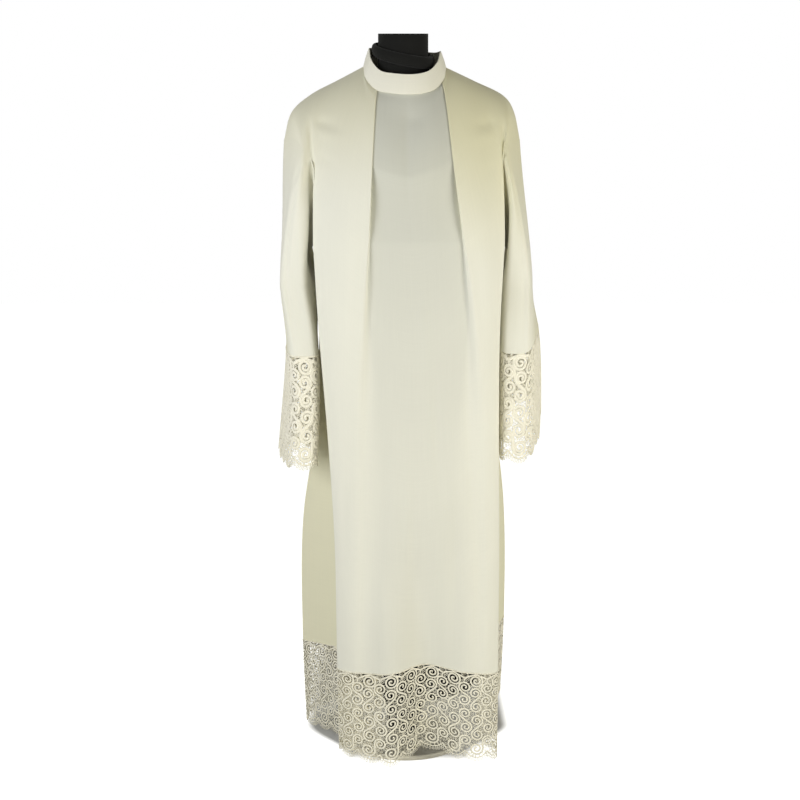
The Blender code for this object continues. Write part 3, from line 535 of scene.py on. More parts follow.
BACK_CREASES = (
    (-3.0, 18, 24, 0.40, 0.00, ((-0.064, 1.00), (-0.066, 0.60), (-0.070, 0.20), (-0.070, 0.00))),
    (3.5, 26, 20, 0.45, 0.00, ((0.000, 0.92), (0.004, 0.55), (0.000, 0.20), (0.000, 0.00))),
    (-3.0, 22, 18, 0.40, 0.00, ((0.064, 0.96), (0.066, 0.60), (0.070, 0.20), (0.070, 0.00))),
    (2.4, 14, 20, 0.40, 0.00, ((0.150, 0.86), (0.160, 0.50), (0.164, 0.20), (0.164, 0.00))),
    (2.4, 20, 14, 0.40, 0.00, ((-0.150, 0.90), (-0.164, 0.52), (-0.168, 0.20), (-0.168, 0.00))),
    (-1.5, 9, 12, 0.40, 0.50, ((0.112, 0.80), (0.116, 0.62), (0.110, 0.42))),
    (-1.5, 12, 9, 0.40, 0.50, ((-0.110, 0.74), (-0.118, 0.58), (-0.112, 0.40))),
    (-2.0, 10, 14, 0.25, 0.60, ((-0.176, 1.330), (-0.130, 1.310), (-0.080, 1.300))),
    (1.4, 12, 12, 0.30, 0.60, ((-0.170, 1.290), (-0.128, 1.268), (-0.090, 1.230))),
    (-2.0, 14, 10, 0.25, 0.60, ((0.172, 1.334), (0.126, 1.316), (0.070, 1.306))),
    (1.4, 12, 12, 0.30, 0.60, ((0.168, 1.286), (0.124, 1.262), (0.088, 1.216))),
    (-1.6, 10, 12, 0.30, 0.60, ((-0.168, 1.200), (-0.140, 1.150), (-0.110, 1.080))),
    (-1.6, 12, 10, 0.30, 0.60, ((0.166, 1.190), (0.136, 1.144), (0.112, 1.060))),
    (1.6, 16, 16, 0.40, 0.50, ((-0.030, 1.340), (-0.026, 1.200), (-0.034, 1.020))),
    (-1.4, 14, 14, 0.40, 0.50, ((0.030, 1.320), (0.034, 1.180), (0.028, 1.000))),
)


CREASE_STEPS = 12  # straight pieces that a crease's curve is measured by


def raised(x, z, creases):
    """How far a table of creases raises each point (x, z), in metres."""
    total = np.zeros_like(x)
    for height, left, right, grow, fade, line in creases:
        line = np.array(line, float)
        way = along_edge(line, np.linspace(0, 1, CREASE_STEPS + 1))
        nearest = np.full(x.shape, np.inf)
        place = np.zeros_like(x)
        side = np.zeros_like(x)
        for k, (start, end) in enumerate(zip(way[:-1], way[1:])):
            step = end - start
            t = ((x - start[0]) * step[0] + (z - start[1]) * step[1]) / (step @ step)
            t = np.clip(t, 0, 1)
            off_x, off_z = x - start[0] - t * step[0], z - start[1] - t * step[1]
            distance = np.hypot(off_x, off_z)
            closer = distance < nearest
            nearest[closer] = distance[closer]
            place[closer] = (k + t[closer]) / (len(way) - 1)
            side[closer] = (off_z * step[0] - off_x * step[1])[closer]
        width = np.where(side > 0, right, left) / 1000
        strength = eased(place / grow) * (eased((1 - place) / fade) if fade else 1)
        total += height / 1000 * strength * np.exp(-((nearest / width) ** 2))
    return total


print(len(FRONT_CREASES), "creases in front,", len(BACK_CREASES), "behind")

# %% [markdown]
# ## Rows of cloth
#
# A panel is a grid. Its columns start on the shoulder and neck seams, swing out over the
# breast to the level of the underarm, and follow the plan tables down to the hem. The lace
# goes on below in the same grid, so that the cloth's flutes run on into it. The creases are
# pressed in before the pleat is folded, so that all its layers keep clear of each other.

# %% Grids of the front and the back
DENSE = 641  # points on each row, before a panel takes its own columns from them
UPPER_ROWS = 56
SKIRT_ROWS = 84
LACE_ROWS = 27
LACE_GAP = 0.0006
HEM_DROP = 0.190
CORNER_BLUR = 45  # points on a row over which the corner of neck and shoulder fades
CORNER_FADE = 0.25  # the share of the way to the underarm over which it does so
CREASE_FACE = (0.25, 0.55)  # how squarely cloth faces front or back for no and for full creases


def top_edge(first_shoulder, neck, last_shoulder, across):
    """A panel's upper seam: shoulder, neck and shoulder."""
    before = along_edge(first_shoulder, np.minimum(across / NECK_START, 1))
    inside = along_edge(neck, np.clip((across - NECK_START) / (NECK_END - NECK_START), 0, 1))
    after = along_edge(last_shoulder, np.minimum((ACROSS - across) / NECK_START, 1))
    across = across[:, None]
    return np.where(across < NECK_START, before, np.where(across > NECK_END, after, inside))


def swing(table, across, which):
    """Leaving (0) or arriving (1) directions; x turns round at the middle of the panel."""
    knots = sorted(table)
    folded = np.minimum(across, ACROSS - across)
    directions = smooth(knots, [table[k][which] for k in knots], folded)
    directions[:, 0] *= np.where(across < ACROSS / 2, 1, -1)
    return directions


def with_height(xy, z):
    """Points of a plan, put at a height."""
    return np.column_stack([xy, np.broadcast_to(z, len(xy))])


def inward(rows):
    """Unit normals of a grid of rows that run left to right, level along the top seam."""
    normal = np.cross(np.gradient(rows, axis=1), np.gradient(rows, axis=0))
    normal[0, :, 2] = 0
    return unit(normal)


def panel_rows(top, plan_table, directions, hem, creases):
    """Dense rows of one panel and of the lace below it, with its creases."""
    across = np.linspace(0, ACROSS, DENSE)
    start = top_edge(*top, across)

    def plan(z):
        return smooth(range(ACROSS + 1), level(plan_table, z), across)

    underarm = with_height(plan(UNDERARM_Z), UNDERARM_Z)
    leave, arrive = swing(directions, across, 0), swing(directions, across, 1)
    blur = np.hanning(2 * CORNER_BLUR + 1)
    wider = np.pad(start, ((CORNER_BLUR, CORNER_BLUR), (0, 0)), "reflect", reflect_type="odd")
    soft_start = np.column_stack([np.convolve(c, blur / blur.sum(), "valid") for c in wider.T])
    rows = [
        hermite(t, start + (soft_start - start) * eased(t / CORNER_FADE), leave, underarm,
                arrive)
        for t in np.linspace(0, 1, UPPER_ROWS + 1)
    ]
    seam, tips = smooth(sorted(hem), [hem[k] for k in sorted(hem)], across).T
    for t in np.linspace(0, 1, SKIRT_ROWS + 1)[1:]:
        xy = plan(UNDERARM_Z + (HEM_Z - UNDERARM_Z) * t)
        rows.append(with_height(xy, UNDERARM_Z + (seam - UNDERARM_Z) * t))
    for drop in np.linspace(LACE_GAP, HEM_DROP, LACE_ROWS):
        height = seam + (tips - seam) * drop / HEM_DROP
        rows.append(with_height(plan(HEM_Z - drop), height))
    rows = np.array(rows)
    facing = -inward(rows)
    # creases lie on the wide face of the panel, and not on the sides that turn back
    face = risen(np.abs(facing[..., 1]), *CREASE_FACE)
    return rows + facing * (raised(rows[..., 0], rows[..., 2], creases) * face)[..., None]


front_rows = panel_rows(
    (SHOULDER_LEFT, NECK_FRONT, SHOULDER_RIGHT), FRONT_PLAN, FRONT_SWING, FRONT_HEM, FRONT_CREASES
)
back_rows = panel_rows(
    (SHOULDER_RIGHT, NECK_BACK, SHOULDER_LEFT), BACK_PLAN, BACK_SWING, BACK_HEM, BACK_CREASES
)
print("front and back rows:", front_rows.shape, back_rows.shape)

# %% [markdown]
# ## Folding the pleat
#
# Along a row the cloth is a flat line, and a fold is a detour on it: round a bend, back
# underneath for the width turned under, and round again. `fold_path` gives that detour as
# (along, inset) steps, and the grid's points follow it.

# %% Columns of the front
SHOULDER_COLUMNS = 44
FLAT_STEPS = 8
UNDER_STEPS = 6
BEND_STEPS = 7
PANEL_STEPS = 60
BACK_COLUMNS = 161


def fold_path(turn, radius, under):
    """(along, inset) steps of one fold, from its outer bend to its inner one."""
    bend = np.linspace(0, turn, BEND_STEPS + 1)
    first = radius * np.column_stack([np.sin(bend), 1 - np.cos(bend)])
    start = first[-1] + under * np.array([math.cos(turn), math.sin(turn)])
    back = bend[::-1]
    second = start + radius * np.column_stack(
        [math.sin(turn) - np.sin(back), np.cos(back) - math.cos(turn)]
    )
    strip = first[-1] + (start - first[-1]) * np.linspace(0, 1, UNDER_STEPS + 1)[1:-1, None]
    return np.concatenate([first, strip, second])


def fold_at(table, points, lengths, toward):
    """(along, inset) of one fold on a row. toward is 1 for the left fold, -1 for the right."""
    z = points[len(points) // 2, 2]
    heights = sorted(table)
    edge_x = level(table, z)[0]
    turn, radius, under = (
        np.interp(z, heights, [table[h][k] for h in heights]) for k in (1, 2, 3)
    )
    turn = math.radians(turn)
    path = fold_path(turn, radius, under)
    front = slice(DENSE // 4, DENSE - DENSE // 4)  # the part of the row where x only rises
    edge = np.interp(edge_x, points[front, 0], lengths[front])
    start = edge - toward * radius * math.sin(min(turn, math.pi / 2))
    path[:, 0] = start + toward * path[:, 0]
    return path[::toward]


def front_columns(rows):
    """The front's final grid, and which columns lie between the outer bends of its folds."""
    across = np.linspace(0, ACROSS, DENSE)
    grid = []
    for i, (points, normal) in enumerate(zip(rows, inward(rows))):
        lowered = min(i / UPPER_ROWS, 1)
        reach = NECK_START + (PANEL_START - NECK_START) * lowered
        shoulder = np.linspace(0, reach, SHOULDER_COLUMNS + 1)
        lengths = travelled(points)
        left = fold_at(PLEAT_LEFT, points, lengths, 1)
        right = fold_at(PLEAT_RIGHT, points, lengths, -1)
        first = np.interp(shoulder, across, lengths)
        last = np.interp(ACROSS - shoulder[::-1], across, lengths)
        flat_left = np.linspace(first[-1], left[0, 0], FLAT_STEPS + 1)[1:-1]
        flat_right = np.linspace(right[-1, 0], last[0], FLAT_STEPS + 1)[1:-1]
        share = np.linspace(0, 1, PANEL_STEPS + 1)[1:-1, None]
        middle = left[-1] + (right[0] - left[-1]) * share
        plain = [np.column_stack([a, 0 * a]) for a in (first, flat_left, flat_right, last)]
        path = np.concatenate([plain[0], plain[1], left, middle, right, plain[2], plain[3]])
        at, way = (sampled(path[:, 0], lengths, values) for values in (points, normal))
        grid.append(at + path[:, 1:] * way)
    start = len(first) + len(flat_left) + BEND_STEPS
    end = start + 2 + BEND_STEPS + len(middle) + BEND_STEPS + 1 + 2 * (UNDER_STEPS - 1)
    return np.array(grid), (start, end)


def back_columns(rows):
    """The back's final grid, which has no folds."""
    chosen = np.linspace(0, DENSE - 1, BACK_COLUMNS)
    return np.array([sampled(chosen, range(DENSE), row) for row in rows])


front_grid, (sunk_start, sunk_end) = front_columns(front_rows)
back_grid = back_columns(back_rows)
CLOTH_ROWS = UPPER_ROWS + 1 + SKIRT_ROWS
print("front grid", front_grid.shape, "back grid", back_grid.shape)

# %% [markdown]
# ## From a grid to a shell of cloth
#
# Each grid becomes one sheet of quads with a UV map in metres of flat cloth, and a Solidify
# modifier gives it its wall. A plane could be shaped by hand instead, but then a later change of
# one size would mean shaping it again. `drawn_in` shortens a grid by a hair at the neck, where
# the allowance turns inwards, and lengthens it by a hair at the hem, where the lace is sewn on.

# %% Shells
CLOTH_WALL = 0.0008
SHARP = 50  # degrees; a shell's edges that turn by more than this stay sharp in the shading

# where a warmer ivory is painted in as shade and warm light, as (none, full): to the right, on the
# shoulders at the left and at the right, behind, and on the sides below the arms
WARM_SHADE_X = (-0.10, 0.15)
WARM_SHADE_SHOULDER = ((1.15, 1.42), (1.00, 1.35))
WARM_SHADE_SHARE = (0.55, 1.00)  # how far it has turned on the left and on the right shoulder
WARM_SHADE_BACK_Y = (0.00, 0.05)
WARM_SHADE_SIDE_Y = (-0.13, -0.06)
WARM_SHADE_SIDE_Z = (1.05, 0.85)
WARM_SHADE_BACK_SHARE = 0.75


def painted_warm_shade_share(points):
    """How much warmer ivory is painted in as shade and warm light: shoulders, right side and back.
    """
    x, y, z = points.T
    right = risen(x, *WARM_SHADE_X)
    none, full = (a + (b - a) * right for a, b in zip(*WARM_SHADE_SHOULDER))
    left_share, right_share = WARM_SHADE_SHARE
    high = risen(z, none, full) * (left_share + (right_share - left_share) * right)
    sides = risen(y, *WARM_SHADE_SIDE_Y) * risen(z, *WARM_SHADE_SIDE_Z)
    return np.maximum(high, WARM_SHADE_BACK_SHARE * np.maximum(risen(y, *WARM_SHADE_BACK_Y), sides))


def drawn_in(grid, top=0.0, bottom=0.0):
    """The grid with its first and last rows drawn in along the cloth by these lengths."""
    grid = grid.copy()
    for line, neighbour, distance in ((grid[0], grid[1], top), (grid[-1], grid[-2], bottom)):
        line += unit(neighbour - line) * distance
    return grid


def cells(values):
    """The values at the four corners of each cell of a grid."""
    return np.stack([values[:-1, :-1], values[1:, :-1], values[1:, 1:], values[:-1, 1:]], axis=2)


def placed(name, mesh, finish):
    """The mesh as an object of the scene, in its finish."""
    mesh.materials.append(finish)
    obj = bpy.data.objects.new(name, mesh)
    bpy.context.scene.collection.objects.link(obj)
    return obj


def take(obj):
    """Selects one piece alone and makes it the active one."""
    bpy.ops.object.select_all(action="DESELECT")
    obj.select_set(True)
    bpy.context.view_layer.objects.active = obj


def shell(name, grid, finish, wall=CLOTH_WALL, closed=False, flip=False, layers_and_painted_shade=None, fade=1.0):
    """One sheet of cloth through a grid's points, with its wall."""
    rows, columns = grid.shape[:2]
    points = grid.reshape(-1, 3)
    at = np.arange(rows * columns).reshape(rows, columns)
    if closed:
        grid, at = (np.concatenate([values, values[:, :1]], axis=1) for values in (grid, at))
    u = travelled(grid[rows // 2])
    v = np.cumsum(np.linalg.norm(np.diff(grid, axis=0, prepend=grid[:1]), axis=2), axis=0)
    quads = cells(at).reshape(-1, 4)
    corners = cells(np.stack([np.broadcast_to(u, v.shape), -v], axis=-1)).reshape(-1, 4, 2)
    if flip:
        quads, corners = quads[:, ::-1], corners[:, ::-1]
    mesh = bpy.data.meshes.new(name)
    mesh.from_pydata(points.tolist(), [], quads.tolist())
    mesh.uv_layers.new(name="flat").data.foreach_set("uv", corners.ravel())
    values = np.ones(len(points)) if layers_and_painted_shade is None else layers_and_painted_shade.ravel()
    for attribute, amount in (("layers_and_painted_shade", values), ("painted_warm_shade", painted_warm_shade_share(points) * values * fade)):
        layer = mesh.attributes.new(attribute, "FLOAT", "POINT")
        layer.data.foreach_set("value", amount.astype(np.float32))
    obj = placed(name, mesh, finish)
    take(obj)
    solidify = obj.modifiers.new("wall", "SOLIDIFY")
    solidify.thickness = wall
    solidify.offset = 0
    bpy.ops.object.modifier_apply(modifier="wall")
    bpy.ops.object.shade_smooth_by_angle(angle=math.radians(SHARP))
    bpy.ops.object.select_all(action="DESELECT")
    return obj


def finished(obj, slot, *nodes):
    """Rides on the root and stands for the CAD nodes. slot is not used."""
    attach(obj, "root")
    if nodes:
        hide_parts(*nodes)
    triangles = sum(len(p.vertices) - 2 for p in obj.data.polygons)
    print(f"{obj.name}: {triangles} triangles")
    return obj


# %% [markdown]
# ## Front and back panels
#
# The sunk panel of the pleat is one layer over the black form, in the recess between the folds,
# so it is darker and cooler near the collar: partly the form showing through, partly painted
# shade. It evens out with the side panels towards the hem. Its tone starts at the fold's edge at
# the top and comes in over 56 mm lower down, where the fold is open.

# %% Front and back
# height: how much of the dyed colour shows on the sunk panel, over the form and the painted shade
SINGLE_LAYER_AND_SHADE = {1.42: 0.00, 1.30: 0.05, 1.10: 0.30, 0.90: 0.50, 0.60: 0.75, 0.20: 0.80}
TONE_EDGE = (0.001, 0.056)  # metres over which its tone comes in, at 1.05 m and at 0.60 m
TONE_EDGE_Z = (1.05, 0.60)
NECK_SEAM = 0.0003
HEM_LAP = -0.0009

front_cloth = front_grid[:CLOTH_ROWS]
front_layers_and_painted_shade = np.ones(front_cloth.shape[:2])
inner_x, inner_z = front_cloth[:, sunk_start:sunk_end, 0], front_cloth[:, sunk_start:sunk_end, 2]
heights = sorted(SINGLE_LAYER_AND_SHADE)
single_and_shade = np.interp(inner_z, heights, [SINGLE_LAYER_AND_SHADE[h] for h in heights])
from_fold = np.minimum(inner_x - inner_x[:, :1], inner_x[:, -1:] - inner_x)
softness = TONE_EDGE[0] + (TONE_EDGE[1] - TONE_EDGE[0]) * risen(inner_z, *TONE_EDGE_Z)
# the sunk panel's tone, strongest at the collar: one layer over the black form and painted shade
front_layers_and_painted_shade[:, sunk_start:sunk_end] = 1 - (1 - single_and_shade) * eased(from_fold / softness)
robe_front = finished(
    shell("robe_front_cloth", drawn_in(front_cloth, NECK_SEAM, HEM_LAP), cloth_finish,
          layers_and_painted_shade=front_layers_and_painted_shade),
    "ivory_cloth", "robe_front",
)

back_cloth = back_grid[:CLOTH_ROWS]
robe_back = finished(
    shell("robe_back_cloth", drawn_in(back_cloth, NECK_SEAM, HEM_LAP), cloth_finish),
    "ivory_cloth", "robe_back",
)

# %% [markdown]
# ## Sleeves
#
# A sleeve is a straight tube that hangs from the armhole, flat from side to side and deep from
# front to back. The armhole is the outer edge of the front and of the back above the underarm.
# A cylinder could be bent to it, but the tube has to start exactly on that edge, so its rows are
# drawn from it. The columns of the section tables: middle x and y, half width, half depth, and
# turn in degrees.

# %% Sizes of the sleeves
SLEEVE_LEFT = {
    1.00: (-0.2245, -0.005, 0.034, 0.100, -4), 0.86: (-0.2190, -0.025, 0.033, 0.103, 6),
    0.60: (-0.2310, -0.040, 0.034, 0.103, 13),
}
SLEEVE_RIGHT = {
    1.00: (0.2330, -0.005, 0.034, 0.100, 3), 0.86: (0.2405, -0.028, 0.037, 0.103, 10),
    0.60: (0.2435, -0.046, 0.037, 0.101, 13),
}
SLEEVE_FREE_Z = 1.00  # from here down the section tables hold
CUFF_TOP_Z = 0.86
SLEEVE_SQUARENESS = (0.50, 0.52)  # power of the section at the cuff's top and at the free level
# the directions in which the sleeve leaves the armhole and arrives at the free level: the value
# at the shoulder, and what is added towards the underarm
SLEEVE_LEAVE_X = (0.02, 0.10)
SLEEVE_LEAVE_Y = -0.10
SLEEVE_LEAVE_Z = (-0.30, 0.22)
SLEEVE_ARRIVE_Z = (-0.26, 0.16)
CUFF_LEFT_Z = (0.859, 0.872)  # height of the lace's seam in front and behind
CUFF_RIGHT_Z = (0.867, 0.929)
CUFF_LEFT_DROP = (0.235, 0.224)  # depth of the lace in front and behind
CUFF_RIGHT_DROP = (0.2275, 0.1880)
CUFF_STEP = (0.50, 0.66)  # the share of the way to the back over which one becomes the other
SLEEVE_TOP_ROWS = 44
SLEEVE_ROWS = 22
CUFF_ROWS = 30

# The same columns as the body's creases, but the line's points are (way round, z): the way
# round starts at the outer side, 0.107 is the front, 0.215 the side next to the body.
LEFT_SLEEVE_CREASES = (
    (2.0, 12, 16, 0.20, 0.30, ((0.070, 1.27), (0.080, 1.12), (0.086, 0.96), (0.084, 0.80))),
    (7.0, 26, 34, 0.35, 0.25, ((0.146, 1.25), (0.148, 1.12), (0.150, 0.98), (0.150, 0.80))),
    (8.0, 20, 26, 0.45, 0.45, ((0.156, 1.24), (0.162, 1.14), (0.162, 1.02))),
    (-1.8, 9, 12, 0.20, 0.30, ((0.100, 1.25), (0.104, 1.10), (0.108, 0.98), (0.106, 0.84))),
    (-1.8, 9, 9, 0.30, 0.50, ((0.036, 1.22), (0.044, 1.10), (0.040, 0.96))),
    (-2.0, 8, 12, 0.20, 0.60, ((0.100, 1.255), (0.080, 1.225), (0.060, 1.180))),
    (-1.4, 10, 8, 0.40, 0.50, ((0.020, 1.02), (0.050, 0.98), (0.090, 0.965))),
    (1.6, 14, 14, 0.30, 0.40, ((0.290, 1.22), (0.300, 1.05), (0.296, 0.86))),
    (-2.4, 12, 12, 0.30, 0.40, ((0.340, 1.24), (0.350, 1.08), (0.346, 0.84))),
    (-1.6, 10, 12, 0.30, 0.50, ((0.385, 1.16), (0.392, 1.02), (0.388, 0.90))),
)
RIGHT_SLEEVE_CREASES = (
    (2.2, 14, 12, 0.20, 0.30, ((0.064, 1.26), (0.076, 1.12), (0.084, 0.98), (0.078, 0.78))),
    (4.0, 24, 30, 0.35, 0.25, ((0.150, 1.24), (0.150, 1.12), (0.152, 0.98), (0.150, 0.80))),
    (-2.2, 12, 9, 0.20, 0.30, ((0.104, 1.24), (0.110, 1.10), (0.106, 0.98), (0.100, 0.80))),
    (-2.2, 9, 12, 0.20, 0.60, ((0.104, 1.235), (0.084, 1.205), (0.058, 1.150))),
    (-1.8, 9, 9, 0.30, 0.50, ((0.034, 1.20), (0.040, 1.08), (0.034, 0.94))),
    (1.4, 10, 10, 0.40, 0.50, ((0.024, 1.10), (0.056, 1.06), (0.092, 1.05))),
    (-1.4, 10, 8, 0.40, 0.50, ((0.020, 1.00), (0.052, 0.96), (0.088, 0.950))),
    (1.6, 14, 14, 0.30, 0.40, ((0.280, 1.22), (0.292, 1.05), (0.290, 0.92))),
    (-2.4, 12, 12, 0.30, 0.40, ((0.334, 1.24), (0.344, 1.08), (0.340, 0.92))),
    (-1.6, 10, 12, 0.30, 0.50, ((0.384, 1.14), (0.390, 1.02), (0.384, 0.94))),
)


def sleeve_ring(table, side, z, columns):
    """A sleeve's section: it starts at the outer side and goes round by the front."""
    middle_x, middle_y, half_width, half_depth, turn = level(table, z)
    turn = math.radians(turn)
    outward = np.array([side * math.cos(turn), -math.sin(turn)])
    forward = np.array([-side * math.sin(turn), -math.cos(turn)])
    angle = np.linspace(0, 2 * math.pi, columns, endpoint=False)
    power = np.interp(z, (CUFF_TOP_Z, SLEEVE_FREE_Z), SLEEVE_SQUARENESS)
    out = np.sign(np.cos(angle)) * np.abs(np.cos(angle)) ** power
    ahead = np.sign(np.sin(angle)) * np.abs(np.sin(angle)) ** power
    xy = np.array([middle_x, middle_y]) + np.outer(out * half_width, outward)
    return with_height(xy + np.outer(ahead * half_depth, forward), z)


def sleeve_rows(armhole, table, side, cuff_z, drops, creases):
    """Rows of a sleeve that hangs from the closed line armhole, and of its lace."""
    columns = len(armhole)
    angle = np.linspace(0, 2 * math.pi, columns, endpoint=False)
    ahead = np.sin(angle)
    ring = sleeve_ring(table, side, SLEEVE_FREE_Z, columns)
    underarm = (1 - np.cos(angle)) / 2
    leave = np.column_stack([
        side * (SLEEVE_LEAVE_X[0] + SLEEVE_LEAVE_X[1] * underarm),
        SLEEVE_LEAVE_Y * ahead,
        SLEEVE_LEAVE_Z[0] + SLEEVE_LEAVE_Z[1] * underarm,
    ])
    arrive = np.zeros((columns, 3))
    arrive[:, 2] = SLEEVE_ARRIVE_Z[0] + SLEEVE_ARRIVE_Z[1] * underarm
    rows = [
        hermite(t, armhole, leave, ring, arrive) for t in np.linspace(0, 1, SLEEVE_TOP_ROWS + 1)
    ]
    behind = (1 - ahead) / 2
    front_z, back_z = cuff_z
    seam = front_z + (back_z - front_z) * behind
    for t in np.linspace(0, 1, SLEEVE_ROWS + 1)[1:]:
        row = sleeve_ring(table, side, SLEEVE_FREE_Z + (front_z - SLEEVE_FREE_Z) * t, columns)
        row[:, 2] = SLEEVE_FREE_Z + (seam - SLEEVE_FREE_Z) * t
        rows.append(row)
    front_drop, back_drop = drops
    shares = 1 + (back_drop / front_drop - 1) * risen(behind, *CUFF_STEP)
    for drop in np.linspace(LACE_GAP, front_drop, CUFF_ROWS):
        row = sleeve_ring(table, side, front_z - drop, columns)
        row[:, 2] = seam - drop * shares
        rows.append(row)
    rows = np.array(rows)
    ringed = np.concatenate([rows[:, -1:], rows, rows[:, :1]], axis=1)
    normal = unit(np.cross(np.gradient(ringed, axis=1), np.gradient(ringed, axis=0)))[:, 1:-1]
    girth = travelled(np.vstack([ring, ring[:1]]))[-1]
    way_round = np.broadcast_to(angle / (2 * math.pi) * girth, rows.shape[:2]).copy()
    return rows + side * normal * raised(way_round, rows[..., 2], creases)[..., None]


# %% [markdown]
# The armhole line runs down the front's edge and up the back's, and each is divided into the
# same number of steps, so that the sleeve's columns meet the seam evenly.


# %% Both sleeves
SLEEVE_COLUMNS = 144


def armhole_line(front_edge, back_edge):
    """The armhole from the shoulder down the front, under the arm and up the back."""
    steps = np.linspace(0, 1, UPPER_ROWS + 1)
    at = np.linspace(0, 1, SLEEVE_COLUMNS // 2 + 1)[:-1]
    return np.concatenate([sampled(at, steps, part) for part in (front_edge, back_edge[::-1])])


above = slice(0, UPPER_ROWS + 1)
left_armhole = armhole_line(front_rows[above, 0], back_rows[above, -1])
right_armhole = armhole_line(front_rows[above, -1], back_rows[above, 0])
left_rows = sleeve_rows(
    left_armhole, SLEEVE_LEFT, -1, CUFF_LEFT_Z, CUFF_LEFT_DROP, LEFT_SLEEVE_CREASES
)
right_rows = sleeve_rows(
    right_armhole, SLEEVE_RIGHT, 1, CUFF_RIGHT_Z, CUFF_RIGHT_DROP, RIGHT_SLEEVE_CREASES
)
SLEEVE_CLOTH_ROWS = SLEEVE_TOP_ROWS + 1 + SLEEVE_ROWS
sleeves = {}
for side_name, rows, flip in (("left", left_rows, False), ("right", right_rows, True)):
    tube = drawn_in(rows[:SLEEVE_CLOTH_ROWS], bottom=HEM_LAP)
    sleeves[side_name] = finished(
        shell(f"sleeve_{side_name}_cloth", tube, cloth_finish, closed=True, flip=flip),
        "ivory_cloth", f"sleeve_{side_name}",
    )

# %% [markdown]
# ## Collar
#
# The collar is a straight band, doubled and stiffened, that stands on the neck seam and leans in
# a little. Its two ends lap over each other at the back right, where it is fastened. It is drawn
# from the neck line, and a bevel takes the sharpness off its rims, as turning cloth over does.

# %% Collar
COLLAR_WALL = 0.0024
COLLAR_LIFT = -0.0010
COLLAR_HEIGHT = (0.0415, 0.0385, 0.0385)  # in front, at the sides and behind
COLLAR_LEAN = (0.0130, 0.0125, 0.0070)
COLLAR_BELLY = 0.0010  # the band bulges out a little at mid height
COLLAR_CORNER_DROP = 0.009  # it stands lower at the back right, by the fastening
COLLAR_LAP = 0.10  # of the way round
COLLAR_LAP_STEP = 0.0045
COLLAR_START = 0.0625
COLLAR_COLUMNS = 260
COLLAR_ROWS = 14
NECK_BACK_STEPS = 120
NECK_FRONT_STEPS = 170
NECK_BACK_SHARE = 14 / 34  # of the way round the neck
COLLAR_WARM_SHADE = 0.25  # it gets much less of the painted warm shade than the shoulders


def collar_rows():
    """The band from its bottom up, along the neck seam from one lapped end to the other."""
    behind = along_edge(NECK_BACK, np.linspace(0, 1, NECK_BACK_STEPS + 1))
    before = along_edge(NECK_FRONT, np.linspace(0, 1, NECK_FRONT_STEPS + 1))
    closed = np.concatenate([behind[:-1], before])
    around = np.concatenate([np.linspace(0, NECK_BACK_SHARE, NECK_BACK_STEPS + 1)[:-1],
                             np.linspace(NECK_BACK_SHARE, 1, NECK_FRONT_STEPS + 1)])
    along = np.linspace(COLLAR_START, COLLAR_START + 1 + COLLAR_LAP, COLLAR_COLUMNS)
    line = sampled(along % 1, around, closed)
    out = unit(line[:, :2] - closed[:, :2].mean(axis=0))
    stepped_out = np.clip(2 - (along - COLLAR_START) / COLLAR_LAP, 0, 1)
    line[:, :2] += out * (stepped_out * COLLAR_LAP_STEP)[:, None]
    share = np.column_stack(
        [np.clip(-out[:, 1], 0, 1) ** 2, out[:, 0] ** 2, np.clip(out[:, 1], 0, 1) ** 2]
    )
    corner = 2 * np.clip(out[:, 0], 0, 1) * np.clip(out[:, 1], 0, 1)
    height = share @ COLLAR_HEIGHT - COLLAR_CORNER_DROP * corner
    lean = share @ COLLAR_LEAN
    rows = []
    for t in np.linspace(0, 1, COLLAR_ROWS):
        row = line.copy()
        row[:, 2] += COLLAR_LIFT + height * t
        row[:, :2] -= out * (lean * t - COLLAR_BELLY * math.sin(math.pi * t))[:, None]
        rows.append(row)
    return np.array(rows)


def bevelled(obj, width, segments, sharp):
    """Rounds the edges of a piece that turn by more than `sharp` degrees."""
    bpy.context.view_layer.objects.active = obj
    edge = obj.modifiers.new("edge", "BEVEL")
    edge.width = width
    edge.segments = segments
    edge.limit_method = "ANGLE"
    edge.angle_limit = math.radians(sharp)
    bpy.ops.object.modifier_apply(modifier="edge")
    return obj


collar_grid = collar_rows()
# a lighter ivory than the robe's: partly the doubled, stiffened band, partly painted light
collar_finish = ivory_cloth("ivory_collar_cloth_doubled_and_painted_light", "#f8f5e6", "#f8f5e6")
collar = shell("collar_band", collar_grid[::-1], collar_finish, wall=COLLAR_WALL,
               fade=COLLAR_WARM_SHADE)
finished(bevelled(collar, 0.0007, 2, 50), "ivory_cloth", "collar")

# %% [markdown]
# ## Guipure lace
#
# Guipure is a heavy lace with no net behind it: cords of satin stitch are sewn on a cloth that is
# then dissolved, and thin bars, called brides, hold them together. This one has double-turned
# scrolls that are joined in pairs to an S, small rings in the gaps between them, and a scalloped
# edge of loops. One repeat is 48 mm wide and about 200 mm deep, and is drawn flat first, in
# millimetres, x across and y down from the cloth's edge.
#
# A texture of holes would look flat from the side, so each cord is a real flattened tube: six
# sides for a scroll, four for a loop, three for a bride. The repeat is drawn once, as a list of
# cords, and is then copied along the hem.

# %% The scrolls of one repeat
REPEAT_MM = 48.0
HALF_REPEAT = REPEAT_MM / 2
DESIGN_DEPTH = 208.0

